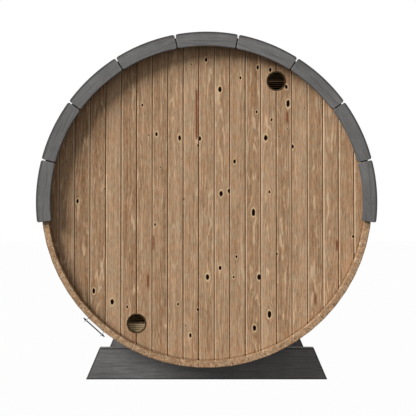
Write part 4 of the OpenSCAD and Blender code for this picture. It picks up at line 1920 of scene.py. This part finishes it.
@dataclass
class ArchedTrim:
    """Nine grey boards with rounded corners over the upper rim of each end."""

    barrel: Barrel
    finishes: Finishes
    tree: Tree
    pieces: int = 9
    sweep: float = math.radians(194.4)
    width: float = 87 * MM
    gap: float = 6 * MM
    corner: float = 12 * MM
    edge_steps: int = 8
    corner_steps: int = 5
    ease: float = 3 * MM
    seed: int = 53

    def outline(self, outer: float) -> list[Point]:
        """Outline of the top piece about the axis.

        Args:
            outer: Radius of its outer edge.

        Returns:
            Points in X and Z.
        """
        h = self.sweep / self.pieces / 2
        c, inner = self.corner, outer - self.width
        ro, ri = outer - c, inner + c
        ao = h - math.asin((c + self.gap / 2) / ro)
        ai = h - math.asin((c + self.gap / 2) / ri)
        quarter, steps = math.pi / 2, self.corner_steps
        right = arc(outer, 0.0, ao, self.edge_steps)
        for k in range(1, steps + 1):
            dx, dz = on_arc(c, ao + (h + quarter - ao) * k / steps)
            x, z = on_arc(ro, ao)
            right.append((x + dx, z + dz))
        for k in range(steps):
            dx, dz = on_arc(c, h + quarter + (ai + quarter - h) * k / steps)
            x, z = on_arc(ri, ai)
            right.append((x + dx, z + dz))
        right += arc(inner, ai, 0.0, self.edge_steps)
        left = [(-x, z) for x, z in reversed(right[1:-1])]
        return right + left

    def build(self) -> None:
        """Build the trim of both ends."""
        b = self.barrel
        pitch = self.sweep / self.pieces
        for name in ("rear_trim", "front_trim"):
            low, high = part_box(name)
            outer = min(high.z - b.axis_z, high.x)
            solid = prism(self.outline(outer), low.y, high.y, self.ease)
            one = Timber()
            one.add(solid, lambda p: Vector((p.z - outer, p.y, p.x)))
            piece = one.build(f"{name}_boards", skip=INSTANCE_MARKS)
            sizes = {
                "Count": self.pieces,
                "First Angle": -pitch * (self.pieces - 1) / 2,
                "Pitch": pitch,
                "Axis Height": b.axis_z,
                "Seed": self.seed,
                "Material": self.finishes.paint,
            }
            grow(piece, self.tree, sizes)
            dress(piece, self.finishes.paint, Slot.PAINT, name)


@dataclass
class Cradles:
    """Two painted planks, each with a saddle cut into its top for the barrel."""

    barrel: Barrel
    finishes: Finishes
    lean: float = 0.428
    ease: float = 3 * MM
    saddle_slack: float = 0.3 * MM
    dice: random.Random = field(default_factory=lambda: random.Random(17))

    @property
    def saddle_r(self) -> float:
        """Radius of the saddle, which touches the staves' corners."""
        return self.barrel.stave_out / math.cos(self.barrel.stave_half) + self.saddle_slack

    def reach(self, z: float) -> float:
        """Half width of the saddle at a height."""
        return math.sqrt(self.saddle_r**2 - (self.barrel.axis_z - z) ** 2)

    def hollow(self, top: float, steps: int = 24) -> list[Point]:
        """Points of the saddle from right to left, up to a height.

        Args:
            top: Height of the plank.
            steps: Sides of the saddle.

        Returns:
            Points in X and Z.
        """
        r = self.saddle_r
        wide = math.asin(self.reach(top) / r)
        swing = [wide * (1 - 2 * k / steps) for k in range(steps + 1)]
        return [(r * math.sin(t), self.barrel.axis_z - r * math.cos(t)) for t in swing]

    def plank(self, name: str) -> None:
        """Build one cradle plank.

        Args:
            name: CAD node that it stands for.
        """
        low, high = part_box(name)
        top = high.x - (high.z - low.z) * self.lean
        outline = [(low.x, low.z), (high.x, low.z), (top, high.z), *self.hollow(high.z), (-top, high.z)]
        solid = prism(outline, low.y, high.y, self.ease)
        timber = Timber()
        timber.add(solid, lambda p: Vector((p.z, p.y, p.x)), self.dice.random())
        dress(timber.build(f"{name}_plank"), self.finishes.paint, Slot.PAINT, name)

    def build(self) -> None:
        """Build both cradles."""
        for end in ("rear", "front"):
            self.plank(f"{end}_cradle")


def screw_tree() -> Tree:
    """Make the tree that sets a domed screw head on each point, facing along Y.

    Returns:
        The tree.
    """
    inputs = {"Geometry": "Geometry", "Head Radius": "Float", "Head Rise": "Float", "Material": "Material"}
    tree = node_group("screw_heads", "GeometryNodeTree", inputs, {"Geometry": "Geometry"})
    given = add(tree, "NodeGroupInput").node.outputs
    ball = {"Segments": 18, "Rings": 10, "Radius": 1.0}
    head = add(tree, "GeometryNodeMeshUVSphere", ball)
    flat = (given["Head Radius"], given["Head Rise"], given["Head Radius"])
    flat = add(tree, JOIN, flat)
    made = {"Points": given["Geometry"], "Instance": head, "Scale": flat}
    made = add(tree, "GeometryNodeInstanceOnPoints", made)
    made = add(tree, "GeometryNodeRealizeInstances", {"Geometry": made})
    made = add(tree, "GeometryNodeSetMaterial", {"Geometry": made, "Material": given["Material"]})
    add(tree, "NodeGroupOutput", {"Geometry": made})
    return tree


@dataclass
class Door:
    """Boarded door in a frame, with ledges behind, strap hinges and a wooden pull."""

    finishes: Finishes
    boards: int = 6
    gap: float = 0.6 * MM
    ease: float = 4 * MM
    frame_ease: float = 2 * MM
    ledge_h: float = 90 * MM
    pull_ease: float = 5 * MM
    pull_w: float = 30 * MM
    post_inset: float = 24 * MM
    pull_gap: float = 37 * MM
    hinge_t: float = 4 * MM
    hinge_plate: float = 28 * MM
    hinge_h: float = 46 * MM
    hinge_ease: float = 0.8 * MM
    knuckle_r: float = 6 * MM
    knuckle_ease: float = 1 * MM
    knuckle_sides: int = 20
    strap_screws: Spot = (0.12, 0.45, 0.78)
    plate_screws: float = 0.62
    screw_r: float = 4.5 * MM
    screw_rise: float = 2.2 * MM
    dice: random.Random = field(default_factory=lambda: random.Random(23))

    def beam(
        self, timber: Timber, low: Sequence[float], high: Sequence[float], upright: bool, ease: float
    ) -> None:
        """Add one straight piece of wood.

        Args:
            timber: Planks that it joins.
            low: Lowest corner.
            high: Highest corner.
            upright: True where the grain runs up.
            ease: Rounding of its edges.
        """
        mid = (Vector(low) + Vector(high)) / 2

        def grain_of(p: Vector) -> Vector:
            """Place across, in and along the piece."""
            d = p - mid
            return d if upright else Vector((d.z, d.y, d.x))

        size = Vector(high) - Vector(low)
        half, run = (size.x / 2, size.z / 2) if upright else (size.z / 2, size.x / 2)
        knots = scattered_knots(self.dice, half, -run, run)
        timber.add(block(low, high, ease), grain_of, self.dice.random(), 1.0, knots)

    def build_frame(self) -> None:
        """Build the jambs, head and sill."""
        low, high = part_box("door_jambs")
        jamb_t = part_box("door_head")[1].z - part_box("door_head")[0].z
        jambs = Timber()
        for near, far in ((low.x, low.x + jamb_t), (high.x - jamb_t, high.x)):
            self.beam(jambs, (near, low.y, low.z), (far, high.y, high.z), True, self.frame_ease)
        dress(jambs.build("door_jambs_wood"), self.finishes.wood, Slot.WOOD, "door_jambs")
        for name in ("door_head", "door_sill"):
            rail = Timber()
            self.beam(rail, *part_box(name), False, self.frame_ease)
            dress(rail.build(f"{name}_wood"), self.finishes.wood, Slot.WOOD, name)

    def build_leaf(self) -> None:
        """Build the leaf's boards and the ledges behind them."""
        low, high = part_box("door_boards")
        wide = (high.x - low.x + self.gap) / self.boards
        half = (wide - self.gap) / 2
        leaf = Timber()
        for k in range(self.boards):
            x = low.x + half + k * wide
            z = (low.z + high.z) / 2
            swing = [math.radians(30 * n) for n in range(4)]
            curl = [(self.ease * (1 - math.sin(t)), self.ease * (1 - math.cos(t))) for t in swing]
            face = [(x - half + dx, high.y - dy) for dx, dy in reversed(curl)]
            face += [(x + half - dx, high.y - dy) for dx, dy in curl]
            plan = face + [(px, low.y + high.y - py) for px, py in reversed(face)]
            solid = loft([(*p, low.z) for p in plan], [(*p, high.z) for p in plan])
            knots = scattered_knots(self.dice, half, low.z - z, high.z - z)

            def grain_of(p: Vector, x: float = x, z: float = z, face_y: float = high.y) -> Vector:
                """Place across, in and along the board."""
                return Vector((p.x - x, face_y - p.y, p.z - z))

            leaf.add(solid, grain_of, self.dice.random(), half, knots)
        dress(leaf.build("door_leaf_boards"), self.finishes.wood, Slot.WOOD, "door_boards")
        low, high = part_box("door_ledges")
        tall = self.ledge_h
        ledges = Timber()
        for z in (low.z, (low.z + high.z - tall) / 2, high.z - tall):
            self.beam(ledges, (low.x, low.y, z), (high.x, high.y, z + tall), False, self.frame_ease)
        dress(ledges.build("door_ledges_wood"), self.finishes.wood, Slot.WOOD, "door_ledges")

    def build_pull(self) -> None:
        """Build the pull: an upright bar on two posts."""
        low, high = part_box("door_pull")
        pull = Timber()
        back = low.y + self.pull_gap
        self.beam(pull, (low.x, back, low.z), (high.x, high.y, high.z), True, self.pull_ease)
        for z in (low.z + self.post_inset, high.z - self.post_inset - self.pull_w):
            self.beam(pull, (low.x, low.y, z), (high.x, back, z + self.pull_w), True, self.frame_ease)
        dress(pull.build("door_pull_wood"), self.finishes.wood, Slot.WOOD, "door_pull")

    def build_hinges(self) -> None:
        """Build the strap hinges with their screws."""
        low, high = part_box("door_hinges")
        pin_x = high.x - self.hinge_plate
        face = low.y
        solids, screws = [], []
        for foot in (low.z, high.z - self.hinge_h):
            mid = foot + self.hinge_h / 2
            wide, narrow = self.hinge_h / 2 - self.hinge_t, self.hinge_h / 4
            swing = [math.pi / 2 + math.pi * k / 8 for k in range(9)]
            nose = [(low.x + narrow + narrow * math.cos(t), mid + narrow * math.sin(t)) for t in swing]
            strap = [(pin_x, mid + wide), *nose, (pin_x, mid - wide)]
            top = face + self.hinge_t
            solids.append(prism(strap, face, top, self.hinge_ease))
            plate_high = (high.x, top, foot + self.hinge_h)
            solids.append(block((pin_x, face, foot), plate_high, self.hinge_ease))
            lift = Vector((pin_x, face + self.knuckle_r, foot))
            ease = self.knuckle_ease
            shape = [(self.knuckle_r - ease, 0.0), (self.knuckle_r, ease)]
            shape += [(self.knuckle_r, self.hinge_h - ease), (self.knuckle_r - ease, self.hinge_h)]
            solids.append(lathe(shape, lift, Vector((0, 0, 1)), self.knuckle_sides))
            screws += [(low.x + f * (pin_x - low.x), top, mid) for f in self.strap_screws]
            plate_x = pin_x + self.plate_screws * self.hinge_plate
            screws += [(plate_x, top, mid + s * self.hinge_h / 4) for s in (-1, 1)]
        dress(join_plain("door_hinges_strap", solids), self.finishes.black, Slot.BLACK, "door_hinges")
        heads = new_object("door_hinge_screws", screws)
        sizes = {"Head Radius": self.screw_r, "Head Rise": self.screw_rise, "Material": self.finishes.steel}
        grow(heads, screw_tree(), sizes)
        dress(heads, self.finishes.steel, Slot.STEEL)

    def build(self) -> None:
        """Build the whole door."""
        self.build_frame()
        self.build_leaf()
        self.build_pull()
        self.build_hinges()


@dataclass
class Studio:
    """White room, soft light from the upper left and the photograph's camera."""

    barrel: Barrel
    sensor: float = 36.0
    frame_px: int = 416
    rim_metres_per_px: float = 6.015 * MM
    distance: float = 5.091
    eye_height: float = 0.993
    aim_x: float = 8.0 * MM
    aim_height: float = 1.0786
    floor_half: float = 40.0
    floor_drop: float = 0.5 * MM
    sky: float = 0.42
    key: float = 4.9
    key_spread: float = math.radians(29)
    key_from: Spot = (-1.72, -1.0, 1.25)
    fill: float = 1.7
    fill_spread: float = math.radians(60)
    fill_from: Spot = (1.1, 1.0, 0.8)
    floor_keeps: float = 0.02
    floor_tone: str = "#606060"

    def seen(self, tree: Tree) -> Socket:
        """Add the factor that is 1 for camera, glossy and transmission rays.

        Args:
            tree: Tree that gets the nodes.

        Returns:
            The factor.
        """
        path = add(tree, "ShaderNodeLightPath").node.outputs
        rays = add(tree, MATH, (path["Is Camera Ray"], path["Is Glossy Ray"]), **LARGER)
        return add(tree, MATH, (rays, path["Is Transmission Ray"]), **LARGER)

    def build_world(self) -> None:
        """White to the camera, and an even soft fill for the object."""
        world = bpy.data.worlds.new("studio")
        world.use_nodes = True
        tree = world.node_tree
        tree.nodes.clear()
        white = linear("#ffffff")
        fill = add(tree, "ShaderNodeBackground", (white, self.sky))
        back = add(tree, "ShaderNodeBackground", (white, 1.0))
        mixed = add(tree, "ShaderNodeMixShader", (self.seen(tree), fill, back))
        add(tree, "ShaderNodeOutputWorld", {"Surface": mixed})
        bpy.context.scene.world = world

    def build_floor(self) -> None:
        """White floor that keeps a faint shadow of the object."""
        h, z = self.floor_half, -self.floor_drop
        corners = [(-h, -h, z), (h, -h, z), (h, h, z), (-h, h, z)]
        floor = new_object("studio_floor", corners, [(0, 1, 2, 3)])
        material, tree = new_material("white_studio_floor")
        matt = add(tree, "ShaderNodeBsdfDiffuse", {"Color": linear(self.floor_tone)})
        glow = add(tree, "ShaderNodeEmission", {"Color": linear("#ffffff"), "Strength": 1.0})
        share = add(tree, MATH, (self.seen(tree), 1 - self.floor_keeps), **TIMES)
        mixed = add(tree, "ShaderNodeMixShader", (share, matt, glow))
        add(tree, "ShaderNodeOutputMaterial", {"Surface": mixed})
        floor.data.materials.append(material)

    def build_light(self) -> None:
        """Soft key from the upper left of the rear end, and a weak wide fill for the far side."""
        lamps = (
            ("soft_key", self.key, self.key_spread, self.key_from),
            ("wide_fill", self.fill, self.fill_spread, self.fill_from),
        )
        for name, energy, spread, place in lamps:
            lamp = bpy.data.lights.new(name, "SUN")
            lamp.energy, lamp.angle = energy, spread
            holder = bpy.data.objects.new(name, lamp)
            holder.rotation_euler = Vector(place).to_track_quat("Z", "Y").to_euler()
            bpy.context.scene.collection.objects.link(holder)

    def build_camera(self) -> None:
        """Camera at chest height, near enough that the far cradle shows beside the near one."""
        rim = -self.barrel.half_len
        view = bpy.data.cameras.new("photo_view")
        view.sensor_width = self.sensor
        view.lens = self.sensor * self.distance / (self.frame_px * self.rim_metres_per_px)
        view.clip_end = 2 * self.floor_half
        camera = bpy.data.objects.new("photo_view", view)
        camera.location = (0.0, rim - self.distance, self.eye_height)
        sight = Vector((self.aim_x, rim, self.aim_height)) - camera.location
        camera.rotation_euler = sight.to_track_quat("-Z", "Y").to_euler()
        bpy.context.scene.collection.objects.link(camera)
        bpy.context.scene.camera = camera

    def build(self) -> None:
        """Build the whole studio."""
        self.build_camera()
        self.build_world()
        self.build_floor()
        self.build_light()
        bpy.context.scene.view_settings.view_transform = "Standard"


def main() -> None:
    """Build the studio and every sub-assembly in order."""
    logging.basicConfig(level=logging.INFO, format="%(message)s")
    barrel = Barrel.from_frame()
    finishes = Finishes.build(barrel)
    planks = ring_tree()
    Studio(barrel).build()
    StaveShell(barrel, finishes, planks).build()
    vents = Vents(finishes)
    wall = BoardWall(barrel, finishes)
    wall.build_rear([vents.middle("upper"), vents.middle("lower")])
    wall.build_front(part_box("front_wall_under_door")[1].z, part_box("front_wall_over_door")[0].z)
    vents.build()
    Hoops(barrel, finishes).build()
    Roof(barrel, finishes).build()
    ArchedTrim(barrel, finishes, planks).build()
    Cradles(barrel, finishes).build()
    Door(finishes).build()


if __name__ == "__main__":
    main()
